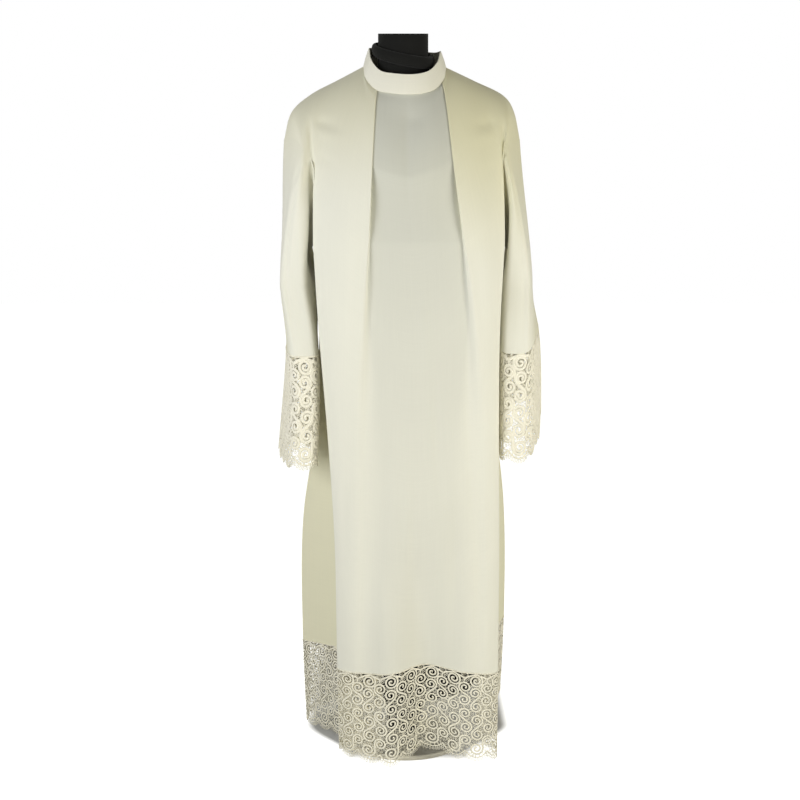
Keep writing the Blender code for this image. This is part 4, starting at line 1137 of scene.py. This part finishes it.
# name: middle across, middle down, radius of the outer turn
SCROLLS = {
    "crest": (0, 17, 14.8), "second": (24, 33, 12.9), "third": (-2, 46, 12.4),
    "fourth": (22, 62, 12.9), "fifth": (0, 78, 12.3), "sixth": (24, 94, 11.9),
    "seventh": (1, 110, 12.8), "eighth": (26, 126, 12.2), "ninth": (2, 143, 13.2),
    "tenth": (25, 157, 11.8), "last": (0, 176, 14.0),
}
PAIRS = (("second", "fourth", 1), ("third", "fifth", -1), ("sixth", "eighth", 1),
         ("seventh", "ninth", -1), ("tenth", "last", 1))
CORD = 4.3  # mm wide on the outer turn
CORD_END = 3.4
CORD_BETWEEN = 4.6  # where it crosses from one scroll to the next
CORD_THICK = 2.0
BULB = (3.9, 4.2)  # widths of the small bulb at the end
BULB_TIP = 1.4
TURNS = 1.82
CORE = 1.7  # radius at which a scroll ends
WINDING = 1.30  # power by which it winds in: above 1, the outer turns stay wide
ANGLE_STEP = math.radians(27)

# width and thickness in mm, and sides of the tube
THIN_CORDS = {
    "heading": (2.4, 1.4, 4), "eyelet": (1.1, 1.2, 4), "eyelet foot": (1.0, 1.0, 4),
    "eyelet stem": (1.1, 1.0, 4), "picot bar": (1.3, 1.2, 4), "picot": (1.2, 1.3, 4),
    "ring": (1.3, 1.3, 4), "bride": (1.1, 1.1, 3), "bar": (1.1, 1.0, 3),
}

cords = []  # (points, widths, thickness, sides)


def lay(points, widths, thick=CORD_THICK, sides=6):
    """Notes one cord of the repeat."""
    points = np.array(points, float)
    cords.append((points, np.broadcast_to(widths, len(points)).astype(float), thick, sides))


def scroll_in(name, start_angle, spin, turns=TURNS):
    """Points of a scroll from its outer turn to its core, with their widths."""
    across, down, radius = SCROLLS[name]
    steps = round(turns * 2 * math.pi / ANGLE_STEP)
    share = np.linspace(0, 1, steps + 1)
    angle = start_angle + spin * share * turns * 2 * math.pi
    r = radius + (CORE - radius) * share ** WINDING
    points = np.column_stack([across + r * np.cos(angle), down + r * np.sin(angle)])
    widths = CORD + (CORD_END - CORD) * share
    widths[-2:] = BULB
    tip = points[-1] + 0.8 * unit(points[-1] - points[-2])
    return np.vstack([points, tip]), np.append(widths, BULB_TIP)


def join_pair(first, second, hand):
    """Two scrolls as one S: out of the first, straight across, and into the second."""
    *a, a_radius = SCROLLS[first]
    *b, b_radius = SCROLLS[second]
    way = np.subtract(b, a)
    lean = math.acos(min((a_radius + b_radius) / np.linalg.norm(way), 1))
    angle = math.atan2(way[1], way[0]) + hand * lean
    ray = np.array([math.cos(angle), math.sin(angle)])
    leave, reach = a + a_radius * ray, b - b_radius * ray
    step = reach - leave
    spin = np.sign(ray[0] * step[1] - ray[1] * step[0])
    out, out_widths = scroll_in(first, angle, -spin)
    into, into_widths = scroll_in(second, angle + math.pi, -spin)
    between = leave + step * np.linspace(0, 1, 4)[1:-1, None]
    lay(np.vstack([out[::-1], between, into]),
        np.concatenate([out_widths[::-1], [CORD_BETWEEN] * 2, into_widths]))


def bend(start, leave, end, arrive, steps):
    """Points of a cubic between two places of the drawing."""
    ends = [np.array(value) for value in (start, leave, end, arrive)]
    return [hermite(t, *ends) for t in np.linspace(0, 1, steps + 1)]


for first, second, hand in PAIRS:
    join_pair(first, second, hand)

# the wave along the cloth's edge: it rises from one V, tops the crest scroll, and falls to the next
crest, crest_widths = scroll_in("crest", math.radians(-78), 1, turns=2.05)
rise = bend((-24, 12.5), (10, -14), tuple(crest[0]), (11, 2.0), 7)
lay(np.vstack([rise[:-1], crest]), np.concatenate([[CORD] * 7, crest_widths]))
lay(bend((8, 5.2), (9, 1.5), (24, 12.5), (7, 10), 6), CORD)
lay([(24, 12), (24, 17), (24, 21.5)], (CORD, 2.2, 2.0))
print("repeat:", len(cords), "scroll cords")

# %% [markdown]
# The scalloped edge has a cord of its own. Short bars stand on it like the ribs of a fan, and
# each one carries a loop, a picot.

# %% The scalloped edge and the heading
EDGE_CORD = ((-24, 180.5), (-19, 187.5), (-11, 194.0), (0, 197.0), (11, 194.0), (19, 187.5),
             (24, 180.5))
EDGE_WIDTH = 2.4
PICOTS = 12
PICOT_BAR = 3.2
PICOT_OUT = 5.9  # middle of the loop, out from the edge cord
PICOT_HALF = (2.9, 1.9)
HEADING_Y = -0.6
EYELET_Y = 6.0
EYELET_RADIUS = 1.9
AROUND = np.linspace(0, 2 * math.pi, 9)

fine = along_edge(np.array(EDGE_CORD, float), np.linspace(0, 1, 61))
lay(fine[::4], EDGE_WIDTH)
steps = travelled(fine)
for k in range(PICOTS):
    at = (k + 0.5) / PICOTS * steps[-1]
    place, ahead = sampled([at, at + 1], steps, fine)
    along = unit(ahead - place)
    out = np.array([-along[1], along[0]])
    lay([place, place + out * PICOT_BAR], *THIN_CORDS["picot bar"])
    long, wide = PICOT_HALF
    lay([place + out * (PICOT_OUT - long * math.cos(a)) + along * (wide * math.sin(a))
         for a in AROUND], *THIN_CORDS["picot"])

# the heading, which lies on the cloth's edge, with an eyelet on three bars in each V
lay([(x, HEADING_Y) for x in np.linspace(-HALF_REPEAT, HALF_REPEAT, 9)],
    *THIN_CORDS["heading"])
for side in (-HALF_REPEAT, HALF_REPEAT):
    lay([(side + EYELET_RADIUS * math.sin(a), EYELET_Y + EYELET_RADIUS * math.cos(a))
         for a in AROUND], *THIN_CORDS["eyelet"])
    for foot, head in ((-3.6, -1.62), (0, 0), (3.6, 1.62)):
        lay([(side + head, 4.2), (side + foot, 0.6)], *THIN_CORDS["eyelet foot"])
    lay([(side, 8.0), (side, 11.6)], *THIN_CORDS["eyelet stem"])
print("with edge and heading:", len(cords))

# %% [markdown]
# The gaps between the scrolls are found rather than drawn: on a fine lattice of points, the one
# furthest from every cord gets a ring, then the next one, and each ring is tied by brides to
# the nearest cord in four directions. Where two scrolls pass close by, two more bars join them.


# %% Rings and brides in the gaps
def spread(points):
    """Points of the cords, with those of the repeats to either side."""
    return np.concatenate([points + (shift, 0) for shift in (-REPEAT_MM, 0, REPEAT_MM)])


def dense_points(path):
    """Four points on each straight piece of a cord."""
    parts = [a + (b - a) * np.linspace(0, 1, 4, endpoint=False)[:, None]
             for a, b in zip(path[:-1], path[1:])]
    return np.concatenate(parts)


LATTICE_STEP = 0.8
GAPS_DOWN = (2, 200)
GAPS_END = {0: 195, 11: 192, 19: 185, 24: 178}  # off the middle: how far down gaps are looked for
RING_ROOM = 3.6  # a gap gets a ring from this distance to the nearest cord
RING_CLEAR = 2.6  # a ring keeps this distance from the cord's middle
RING_MAX = 2.2
RING_MIN = 1.2  # a smaller one is left out, and its brides just meet
RING_APART = 2.2
BRIDES = 4
BRIDE_TURN = 0.3  # of the step from one bride to the next, so that none lies level
BRIDE_REACH = 8
NO_CORD = 99
SCROLL_GAP = (1.0, 8.5)  # scrolls this far apart are joined by two bars
BAR_LEAN = 0.20

taken = spread(np.concatenate([dense_points(points) for points, *_ in cords if len(points) > 3]))
lattice = np.array([(x, y) for y in np.arange(*GAPS_DOWN, LATTICE_STEP)
                    for x in np.arange(-HALF_REPEAT, HALF_REPEAT, LATTICE_STEP)])
edge_depth = np.interp(np.abs(lattice[:, 0]), list(GAPS_END), list(GAPS_END.values()))
lattice = lattice[lattice[:, 1] < edge_depth]
room = np.min(np.linalg.norm(lattice[:, None] - taken[None], axis=2), axis=1)
rings = []
for i in np.argsort(-room, kind="stable"):
    if room[i] < RING_ROOM:
        break
    place = lattice[i]
    radius = min(room[i] - RING_CLEAR, RING_MAX)
    if all(np.hypot((place[0] - x + HALF_REPEAT) % REPEAT_MM - HALF_REPEAT, place[1] - y)
           >= radius + r + RING_APART for x, y, r in rings):
        rings.append((*place, radius))
for x, y, radius in rings:
    if radius > RING_MIN:
        lay([(x + radius * math.cos(a), y + radius * math.sin(a))
             for a in np.linspace(0, 2 * math.pi, 8)], *THIN_CORDS["ring"])
    offset = taken - (x, y)
    distance = np.hypot(*offset.T)
    bearing = np.arctan2(offset[:, 1], offset[:, 0])
    for k in range(BRIDES):
        wanted = (k + BRIDE_TURN) * 2 * math.pi / BRIDES
        turned = np.abs((bearing - wanted + math.pi) % (2 * math.pi) - math.pi)
        near = np.where(turned < math.pi / BRIDES, distance, NO_CORD)
        j = int(np.argmin(near))
        if near[j] < BRIDE_REACH:
            lay([(x, y) + offset[j] / distance[j] * radius, taken[j]], *THIN_CORDS["bride"])


def turned_by(way, angle):
    """A direction of the drawing, turned by an angle."""
    return np.array([way[0] * math.cos(angle) - way[1] * math.sin(angle),
                     way[0] * math.sin(angle) + way[1] * math.cos(angle)])


names = list(SCROLLS)
for i, first in enumerate(names):
    for second in names[i + 1:]:
        for shift in (-REPEAT_MM, 0, REPEAT_MM):
            *a, a_radius = SCROLLS[first]
            *b, b_radius = SCROLLS[second]
            b = np.add(b, (shift, 0))
            way = b - a
            if SCROLL_GAP[0] < np.linalg.norm(way) - a_radius - b_radius < SCROLL_GAP[1]:
                for lean in (-BAR_LEAN, BAR_LEAN):
                    lay([a + turned_by(unit(way), lean) * a_radius,
                         b - turned_by(unit(way), -lean) * b_radius], *THIN_CORDS["bar"])
print("rings:", len(rings), "cords in all:", len(cords))


# %% [markdown]
# Now the flat drawing becomes tubes: each point gets a ring of corners round it, wide across the
# cord and thin through it. The result is one list of corners (across, down, height) and faces.


# %% The repeat as tubes
def tube_arrays(cord):
    """Corners of one cord's tube, the cord's middle at each, its faces and their UV places."""
    points, widths, thick, sides = cord
    count = len(points)
    closed = np.allclose(points[0], points[-1])
    if closed:
        ahead = np.roll(points[:-1], -1, axis=0) - np.roll(points[:-1], 1, axis=0)
        ahead = np.vstack([ahead, ahead[:1]])
    else:
        ahead = np.gradient(points, axis=0)
    ahead = unit(ahead)
    aside = np.column_stack([-ahead[:, 1], ahead[:, 0]])
    angle = np.arange(sides) / sides * 2 * math.pi + (math.pi / 4 if sides == 4 else 0)
    flat = points[:, None] + aside[:, None] * (np.cos(angle) / 2 * widths[:, None])[..., None]
    thin = thick * np.minimum(widths / widths.max(), 1)
    high = np.sin(angle) / 2 * thin[:, None]
    corners = np.concatenate([flat, high[..., None]], axis=2).reshape(-1, 3)
    middles = np.repeat(points, sides, axis=0)
    far = travelled(points)
    faces, marks = [], []
    for i in range(count - 1):
        for k in range(sides):
            n = (k + 1) % sides
            faces.append((i * sides + k, i * sides + n, (i + 1) * sides + n, (i + 1) * sides + k))
            marks.append([(k / sides, far[i]), ((k + 1) / sides, far[i]),
                          ((k + 1) / sides, far[i + 1]), (k / sides, far[i + 1])])
    if not closed and sides > 4:
        for ring, order in ((0, -1), (count - 1, 1)):
            cap = [ring * sides + k for k in range(sides)][::order]
            for quad in ((0, 1, 2, 3), (0, 3, 4, 5)):
                faces.append(tuple(cap[q] for q in quad))
                marks.append([(0.5, far[ring])] * 4)
    return corners, middles, faces, marks


def repeat_arrays():
    """The tubes of all cords of the repeat as one."""
    corners, middles, faces, marks, start = [], [], [], [], 0
    for cord in cords:
        points, centres, quads, uv = tube_arrays(cord)
        corners.append(points)
        middles.append(centres)
        faces += [tuple(start + q for q in quad) for quad in quads]
        marks += uv
        start += len(points)
    return np.concatenate(corners), np.concatenate(middles), np.array(faces), np.array(marks)


repeat_corners, repeat_middles, repeat_faces, repeat_marks = repeat_arrays()
print("one repeat:", 2 * len(repeat_faces), "triangles")

# %% [markdown]
# The cord's finish is rayon satin stitch. Rayon is a little glossier than the cloth, so the eye
# gets a small light on each turn of a cord, broken by the threads. These lie across the cord, so
# a wave along the cord's length raises them; 1.3 mm is four times the real thread.

# %% Finish of the lace
CORD_THREAD_MM = 1.3


def satin_cord(name, colour, furrow_shade):
    """Corded lace; the second colour is painted shade in the furrows between the threads, with
    random tone.
    """
    tree, shader, made = principled(name)
    along = add_node(tree, "ShaderNodeUVMap", uv_map="cord").outputs["UV"]
    threads = add_node(tree, "ShaderNodeTexWave",
                       {"Vector": along, "Scale": WAVE_UNIT / CORD_THREAD_MM, "Distortion": 0.4},
                       bands_direction="Y")
    place = add_node(tree, "ShaderNodeTexCoord").outputs["Object"]
    clouds = add_node(tree, "ShaderNodeTexNoise", {"Vector": place, "Scale": 26.0, "Detail": 2.0})
    mixed = add_node(tree, "ShaderNodeMath",
                     {0: threads.outputs["Fac"], 1: clouds.outputs["Fac"]}, operation="ADD")
    # the furrows between the threads are painted darker as shade, and a random tone is mixed in
    share = add_node(tree, "ShaderNodeMapRange", {
        "Value": mixed.outputs[0], "From Min": 0.5, "From Max": 1.5})
    tone = add_node(tree, "ShaderNodeMix", {
        "Factor": share.outputs[0], "A": dye(furrow_shade), "B": dye(colour)}, data_type="RGBA")
    tree.links.new(tone.outputs["Result"], shader.inputs["Base Color"])
    bump = add_node(tree, "ShaderNodeBump",
                    {"Height": threads.outputs["Fac"], "Distance": 0.0002, "Strength": 0.7})
    tree.links.new(bump.outputs[0], shader.inputs["Normal"])
    shader.inputs["Roughness"].default_value = 0.62
    shader.inputs["Sheen Weight"].default_value = 0.15
    shader.inputs["Specular IOR Level"].default_value = 0.35
    return made


# the second colour is the painted shade in the furrows
lace_finish = satin_cord("ivory_rayon_guipure", "#fffae8", "#f4eed4")

# %% [markdown]
# ## Laying the lace on the robe
#
# Below the hem the cloth's grid goes on without cloth. A corner of the flat drawing is found on
# it by its length along the seam and its share of the depth, and is lifted off it by its height.
# A curve modifier could bend a flat copy as well, but not follow flutes in both directions. The
# cuffs' cords are laid fuller, since there the same lace is gathered a little.


# %% Lace along a grid
HEADING_LIFT = 1.3  # mm; the heading lies on the cloth's edge, where the zigzag holds it
LIFT_FADES = (-1, 4)  # mm down the drawing
CUFF_FULLNESS = 1.6


def way_out(grid):
    """Unit directions out of a grid whose rows run left to right and down."""
    return -unit(np.cross(np.gradient(grid, axis=1), np.gradient(grid, axis=0)))


def lay_lace(name, grid, closed=False, fuller=1.0):
    """Copies of the repeat along a grid whose top row is the seam. Cords past the ends are cut."""
    if closed:
        grid = np.concatenate([grid, grid[:, :1]], axis=1)
    normal = way_out(grid)
    if closed:
        normal[:, 0] = normal[:, -1] = (normal[:, 0] + normal[:, -1]) / 2
    lengths = travelled(grid[0])
    repeats = round(lengths[-1] / (REPEAT_MM / 1000))
    pitch = lengths[-1] / repeats
    columns = np.arange(grid.shape[1])
    drawing = repeat_corners.copy()
    drawing[:, :2] = repeat_middles + (repeat_corners[:, :2] - repeat_middles) * fuller
    corners, faces = [], []
    for i in range(0 if closed else -1, repeats):
        along = (i + 0.5 + drawing[:, 0] / REPEAT_MM) * pitch
        place = np.interp(along % lengths[-1] if closed else along, lengths, columns)
        row = np.minimum(drawing[:, 1] / DESIGN_DEPTH, 1) * (len(grid) - 1)
        c = np.minimum(place.astype(int), len(columns) - 2)  # the cell that the corner lies in
        r = np.clip(row.astype(int), 0, len(grid) - 2)
        part, share = (place - c)[:, None], (row - r)[:, None]

        def on(surface):
            """The surface's value at each corner, from the four corners of its cell."""
            high = surface[r, c] * (1 - part) + surface[r, c + 1] * part
            low = surface[r + 1, c] * (1 - part) + surface[r + 1, c + 1] * part
            return high * (1 - share) + low * share

        over_edge = np.interp(drawing[:, 1:2], LIFT_FADES, (HEADING_LIFT, 0))
        lifted = on(grid) + on(normal) * (drawing[:, 2:] + over_edge) / 1000
        if closed:
            shown = np.ones(len(repeat_faces), bool)
        else:
            middle = along[repeat_faces].mean(axis=1)
            shown = (middle > 0) & (middle < lengths[-1])
        used, renumbered = np.unique(repeat_faces[shown], return_inverse=True)
        faces.append((renumbered.reshape(-1, 4) + sum(map(len, corners)), shown))
        corners.append(lifted[used])
    points = np.concatenate(corners)
    quads = np.concatenate([f for f, _ in faces])
    marks = np.concatenate([repeat_marks[shown] for _, shown in faces])
    mesh = bpy.data.meshes.new(name)
    mesh.from_pydata(points.tolist(), [], quads.tolist())
    mesh.uv_layers.new(name="cord").data.foreach_set("uv", marks.ravel().astype(np.float32))
    mesh.polygons.foreach_set("use_smooth", np.ones(len(quads), bool))
    return placed(name, mesh, lace_finish)


front_lace_grid = front_grid[CLOTH_ROWS:]
back_lace_grid = back_grid[CLOTH_ROWS:]

# the pleat's hidden fold at the left has lace at its hem too, just behind the front's
FOLD_LACE_X = (-0.150, -0.048)
FOLD_LACE_BEHIND = (0.004, 0.016)
seam_x = front_lace_grid[0, :, 0]
within = (seam_x > FOLD_LACE_X[0]) & (seam_x < FOLD_LACE_X[1])
fold_lace_grid = front_lace_grid[:, within].copy()
fold_lace_grid[..., 1] += np.linspace(*FOLD_LACE_BEHIND, len(fold_lace_grid))[:, None]
hem_front = finished(lay_lace("hem_guipure_front", front_lace_grid), "ivory_lace",
                     "hem_lace_front")
fold_lace = finished(lay_lace("fold_guipure", fold_lace_grid), "ivory_lace")
hem_back = finished(lay_lace("hem_guipure_back", back_lace_grid), "ivory_lace", "hem_lace_back")
for side_name, rows in (("left", left_rows), ("right", right_rows)):
    finished(
        lay_lace(f"cuff_guipure_{side_name}", rows[SLEEVE_CLOTH_ROWS:], closed=True,
                 fuller=CUFF_FULLNESS),
        "ivory_lace", f"cuff_lace_{side_name}_front", f"cuff_lace_{side_name}_back",
    )

# %% [markdown]
# ## Seams and stitches
#
# A seam is only seen by its groove and its thread. The lace is sewn on with a zigzag over the
# cloth's edge, and the collar is edge-stitched 2 mm from its rims. One stitch is a small
# flattened bead with eight faces; hundreds of them are joined to one mesh. The thread is spun
# polyester: a little smoother than the cloth, so that it catches the light as fine dots.

# %% Stitches
thread_tree, thread_shader, thread_finish = principled("ivory_sewing_thread")
thread_place = add_node(thread_tree, "ShaderNodeTexCoord").outputs["Object"]
thread_noise = add_node(thread_tree, "ShaderNodeTexNoise", {"Vector": thread_place, "Scale": 900.0})
thread_tone = add_node(thread_tree, "ShaderNodeMix", {
    "Factor": thread_noise.outputs["Fac"], "A": dye("#efeada"), "B": dye("#fffcf0")},
    data_type="RGBA")
thread_tree.links.new(thread_tone.outputs["Result"], thread_shader.inputs["Base Color"])
thread_shader.inputs["Roughness"].default_value = 0.5
thread_shader.inputs["Sheen Weight"].default_value = 0.2


STITCH_OFF = 0.0001  # above the cloth's face
ZIGZAG = {"length": 0.0022, "gap": 0.0002, "width": 0.0007, "zigzag": 0.0011}
ZIGZAG_ABOVE = 0.0016  # metres up from the cloth's edge
BEAD = np.array([(0, 2, 4), (2, 1, 4), (1, 3, 4), (3, 0, 4),
                 (2, 0, 5), (1, 2, 5), (3, 1, 5), (0, 3, 5)])


def stitch_rows(name, rows, length, gap, width=0.0006, zigzag=0.0):
    """Stitches along each of the rows, a row being its points and the way out of the cloth."""
    corners, faces = [], []
    for points, out in rows:
        lengths = travelled(points)
        count = int(lengths[-1] / (length + gap))
        start = (np.arange(count) + 0.5) * (length + gap) - length / 2
        a, b = sampled(start, lengths, points), sampled(start + length, lengths, points)
        o = sampled(start, lengths, out)
        aside = unit(np.cross(b - a, o))
        slant = aside * zigzag * np.where(np.arange(count) % 2, 1, -1)[:, None]
        a, b = a - slant, b + slant
        m = (a + b) / 2
        lift = o * width * 0.7
        six = np.stack([a, b, m + aside * width / 2, m - aside * width / 2, m + lift, m - lift], 1)
        base = sum(map(len, corners)) + np.arange(count)[:, None, None] * 6
        faces.append((base + BEAD).reshape(-1, 3))
        corners.append(six.reshape(-1, 3))
    mesh = bpy.data.meshes.new(name)
    mesh.from_pydata(np.concatenate(corners).tolist(), [], np.concatenate(faces).tolist())
    work = bmesh.new()
    work.from_mesh(mesh)
    bmesh.ops.recalc_face_normals(work, faces=work.faces)
    work.to_mesh(mesh)
    work.free()
    return finished(placed(name, mesh, thread_finish), "ivory_lace")


def above_edge(grid, side=1):
    """A line on a grid's outer face just above its last row, and the way out there."""
    out = side * way_out(grid)[-1]
    up = unit(grid[-2] - grid[-1])
    return grid[-1] + up * ZIGZAG_ABOVE + out * (CLOTH_WALL / 2 + STITCH_OFF), out


hem_stitches_front = stitch_rows("hem_stitches_front", [above_edge(front_cloth)], **ZIGZAG)
hem_stitches_back = stitch_rows("hem_stitches_back", [above_edge(back_cloth)], **ZIGZAG)
for side_name, rows, side in (("left", left_rows, 1), ("right", right_rows, -1)):
    tube = np.concatenate([rows[:SLEEVE_CLOTH_ROWS], rows[:SLEEVE_CLOTH_ROWS, :1]], axis=1)
    stitch_rows(
        f"cuff_stitches_{side_name}", [above_edge(tube, side)], **ZIGZAG
    )


def collar_line(share):
    """A line round the collar's outer face at a share of its height."""
    low, up = collar_grid[0], collar_grid[-1] - collar_grid[0]
    out = unit(np.cross(np.gradient(low, axis=0), up))
    out *= np.sign(((low - low.mean(axis=0)) * out).sum(axis=1).mean())
    belly = COLLAR_BELLY * math.sin(math.pi * share)
    return low + up * share + out * (COLLAR_WALL / 2 + belly + STITCH_OFF), out


collar_stitches = stitch_rows(
    "collar_stitches", [collar_line(0.055), collar_line(0.945)], length=0.0024, gap=0.0010
)

# %% [markdown]
# ## The dress form
#
# The form is a foam body under black jersey, with a padded roll round the neck. The packed
# solid has flat facets, so it is copied, its loose triangles are merged back to quads, and a
# subdivision surface rounds it, as one would do by hand. Cotton jersey is rough and nearly
# without sheen, so the eye gets a deep matt black with a hint of its ribs.

# %% Jersey over the form
RIB = 0.0016  # metres; a real wale of this jersey is half of that
RIM_DEPTH = 0.016  # the cut top of the neck keeps its edges this far down
ROUNDING_LEVELS = 2


def jersey(name, colour, loop_highlight_colour):
    """Knitted cotton; the second colour is a painted highlight on the loops that stand out, with
    random tone.
    """
    tree, shader, made = principled(name)
    place = add_node(tree, "ShaderNodeTexCoord").outputs["Object"]
    wales, courses = (
        add_node(tree, "ShaderNodeTexWave", {"Vector": place, "Scale": WAVE_UNIT / RIB,
                                             "Distortion": 1.2, "Detail": 1.0},
                 bands_direction=way)
        for way in "XZ"
    )
    loops = add_node(tree, "ShaderNodeMath",
                     {0: wales.outputs["Fac"], 1: courses.outputs["Fac"]}, operation="MULTIPLY")
    clouds = add_node(tree, "ShaderNodeTexNoise", {"Vector": place, "Scale": 14.0, "Detail": 3.0})
    # the raised loops are painted lighter as a highlight, broken by a random tone
    share = add_node(tree, "ShaderNodeMath",
                     {0: loops.outputs[0], 1: clouds.outputs["Fac"]}, operation="MULTIPLY")
    tone = add_node(tree, "ShaderNodeMix", {
        "Factor": share.outputs[0], "A": dye(colour), "B": dye(loop_highlight_colour)}, data_type="RGBA")
    tree.links.new(tone.outputs["Result"], shader.inputs["Base Color"])
    bump = add_node(tree, "ShaderNodeBump",
                    {"Height": loops.outputs[0], "Distance": 0.0003, "Strength": 0.6})
    tree.links.new(bump.outputs[0], shader.inputs["Normal"])
    shader.inputs["Roughness"].default_value = 0.9
    shader.inputs["Sheen Weight"].default_value = 0.08
    shader.inputs["Specular IOR Level"].default_value = 0.2
    return made


# the second colour is the painted highlight on the raised loops
jersey_finish = jersey("black_cotton_jersey", "#131311", "#252520")


def rounded_copy(node, name, sharp_rim=False):
    """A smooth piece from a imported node: merged, back to quads, subdivided."""
    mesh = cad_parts[node].data.copy()
    mesh.materials.clear()
    obj = placed(name, mesh, jersey_finish)
    take(obj)
    bpy.ops.object.mode_set(mode="EDIT")
    bpy.ops.mesh.select_all(action="SELECT")
    bpy.ops.mesh.remove_doubles(threshold=0.00001)
    bpy.ops.mesh.dissolve_limited(angle_limit=math.radians(0.4))
    bpy.ops.mesh.tris_convert_to_quads(face_threshold=math.radians(40),
                                       shape_threshold=math.radians(60))
    bpy.ops.mesh.normals_make_consistent(inside=False)
    bpy.ops.object.mode_set(mode="OBJECT")
    rim = max(corner.co.z for corner in obj.data.vertices) - RIM_DEPTH
    crease = obj.data.attributes.new("crease_edge", "FLOAT", "EDGE")
    crease.data.foreach_set("value", [
        float(sharp_rim and min(obj.data.vertices[v].co.z for v in edge.vertices) > rim)
        for edge in obj.data.edges
    ])
    rounding = obj.modifiers.new("rounding", "SUBSURF")
    rounding.levels = rounding.render_levels = ROUNDING_LEVELS
    bpy.ops.object.modifier_apply(modifier="rounding")
    bpy.ops.object.shade_smooth()
    bpy.ops.object.select_all(action="DESELECT")
    return obj


finished(rounded_copy("form_torso", "form_body_jersey", True), "black_jersey", "form_torso")
finished(rounded_copy("neck_roll", "neck_roll_jersey"), "black_jersey", "neck_roll")

# %% [markdown]
# ## The base
#
# A 10 mm steel plate, 250 mm across, powder-coated in cream. It is turned from a cylinder with
# enough corners to look round: its top is inset for a low step, and its rims are bevelled. The
# powder melts to a half-gloss coat with a fine grain, which softens the lace's reflection in it.

# %% Base plate
coat_tree, coat_shader, coat_finish = principled("cream_powder_coated_steel")
coat_place = add_node(coat_tree, "ShaderNodeTexCoord").outputs["Object"]
coat_grain = add_node(coat_tree, "ShaderNodeTexNoise",
                      {"Vector": coat_place, "Scale": 700.0, "Detail": 1.0})
coat_wear = add_node(coat_tree, "ShaderNodeTexNoise",
                     {"Vector": coat_place, "Scale": 18.0, "Detail": 4.0})
coat_tone = add_node(coat_tree, "ShaderNodeMix", {
    "Factor": coat_wear.outputs["Fac"], "A": dye("#e9e4d0"), "B": dye("#f2eedc")},
    data_type="RGBA")
coat_tree.links.new(coat_tone.outputs["Result"], coat_shader.inputs["Base Color"])
coat_bump = add_node(coat_tree, "ShaderNodeBump",
                     {"Height": coat_grain.outputs["Fac"], "Distance": 0.0001, "Strength": 0.5})
coat_tree.links.new(coat_bump.outputs[0], coat_shader.inputs["Normal"])
coat_shader.inputs["Roughness"].default_value = 0.45

BASE_RADIUS = 0.125
BASE_THICKNESS = 0.010
BASE_BORDER = 0.006
BASE_STEP = (0.0015, -0.0010)  # width and height of the step on its top
bpy.ops.object.select_all(action="DESELECT")
bpy.ops.mesh.primitive_cylinder_add(
    vertices=96, radius=BASE_RADIUS, depth=BASE_THICKNESS, location=(0, 0, BASE_THICKNESS / 2)
)
base = bpy.context.object
base.name = "base_plate"
base.data.materials.append(coat_finish)
bpy.ops.object.mode_set(mode="EDIT")
bpy.ops.mesh.select_mode(type="FACE")
bpy.ops.mesh.select_all(action="DESELECT")
bpy.ops.object.mode_set(mode="OBJECT")
for face in base.data.polygons:
    face.select = face.normal.z > 0.9
bpy.ops.object.mode_set(mode="EDIT")
bpy.ops.mesh.inset(thickness=BASE_BORDER)
bpy.ops.mesh.inset(thickness=BASE_STEP[0], depth=BASE_STEP[1])
bpy.ops.object.mode_set(mode="OBJECT")
bevelled(base, 0.0025, 4, 60)
bpy.ops.object.shade_smooth_by_angle(angle=math.radians(35))
bpy.ops.object.transform_apply(location=True, rotation=True, scale=True)
bpy.ops.object.select_all(action="DESELECT")
finished(base, "painted_steel", "stand_base")

# %% [markdown]
# ## The area of each sheet
#
# Each sheet's area is printed as it hangs: the cloth that shows, with the pleat's turned strips.
# A sheet's own area is half of its mesh, which has two faces.


# %% Sheet areas
def area_of(obj):
    """One face of a sheet of cloth, in square metres."""
    return sum(p.area for p in obj.data.polygons) / 2


for piece in (robe_front, robe_back, *sleeves.values(), collar):
    print(f"{piece.name}: {area_of(piece):.3f} m2 as it hangs")
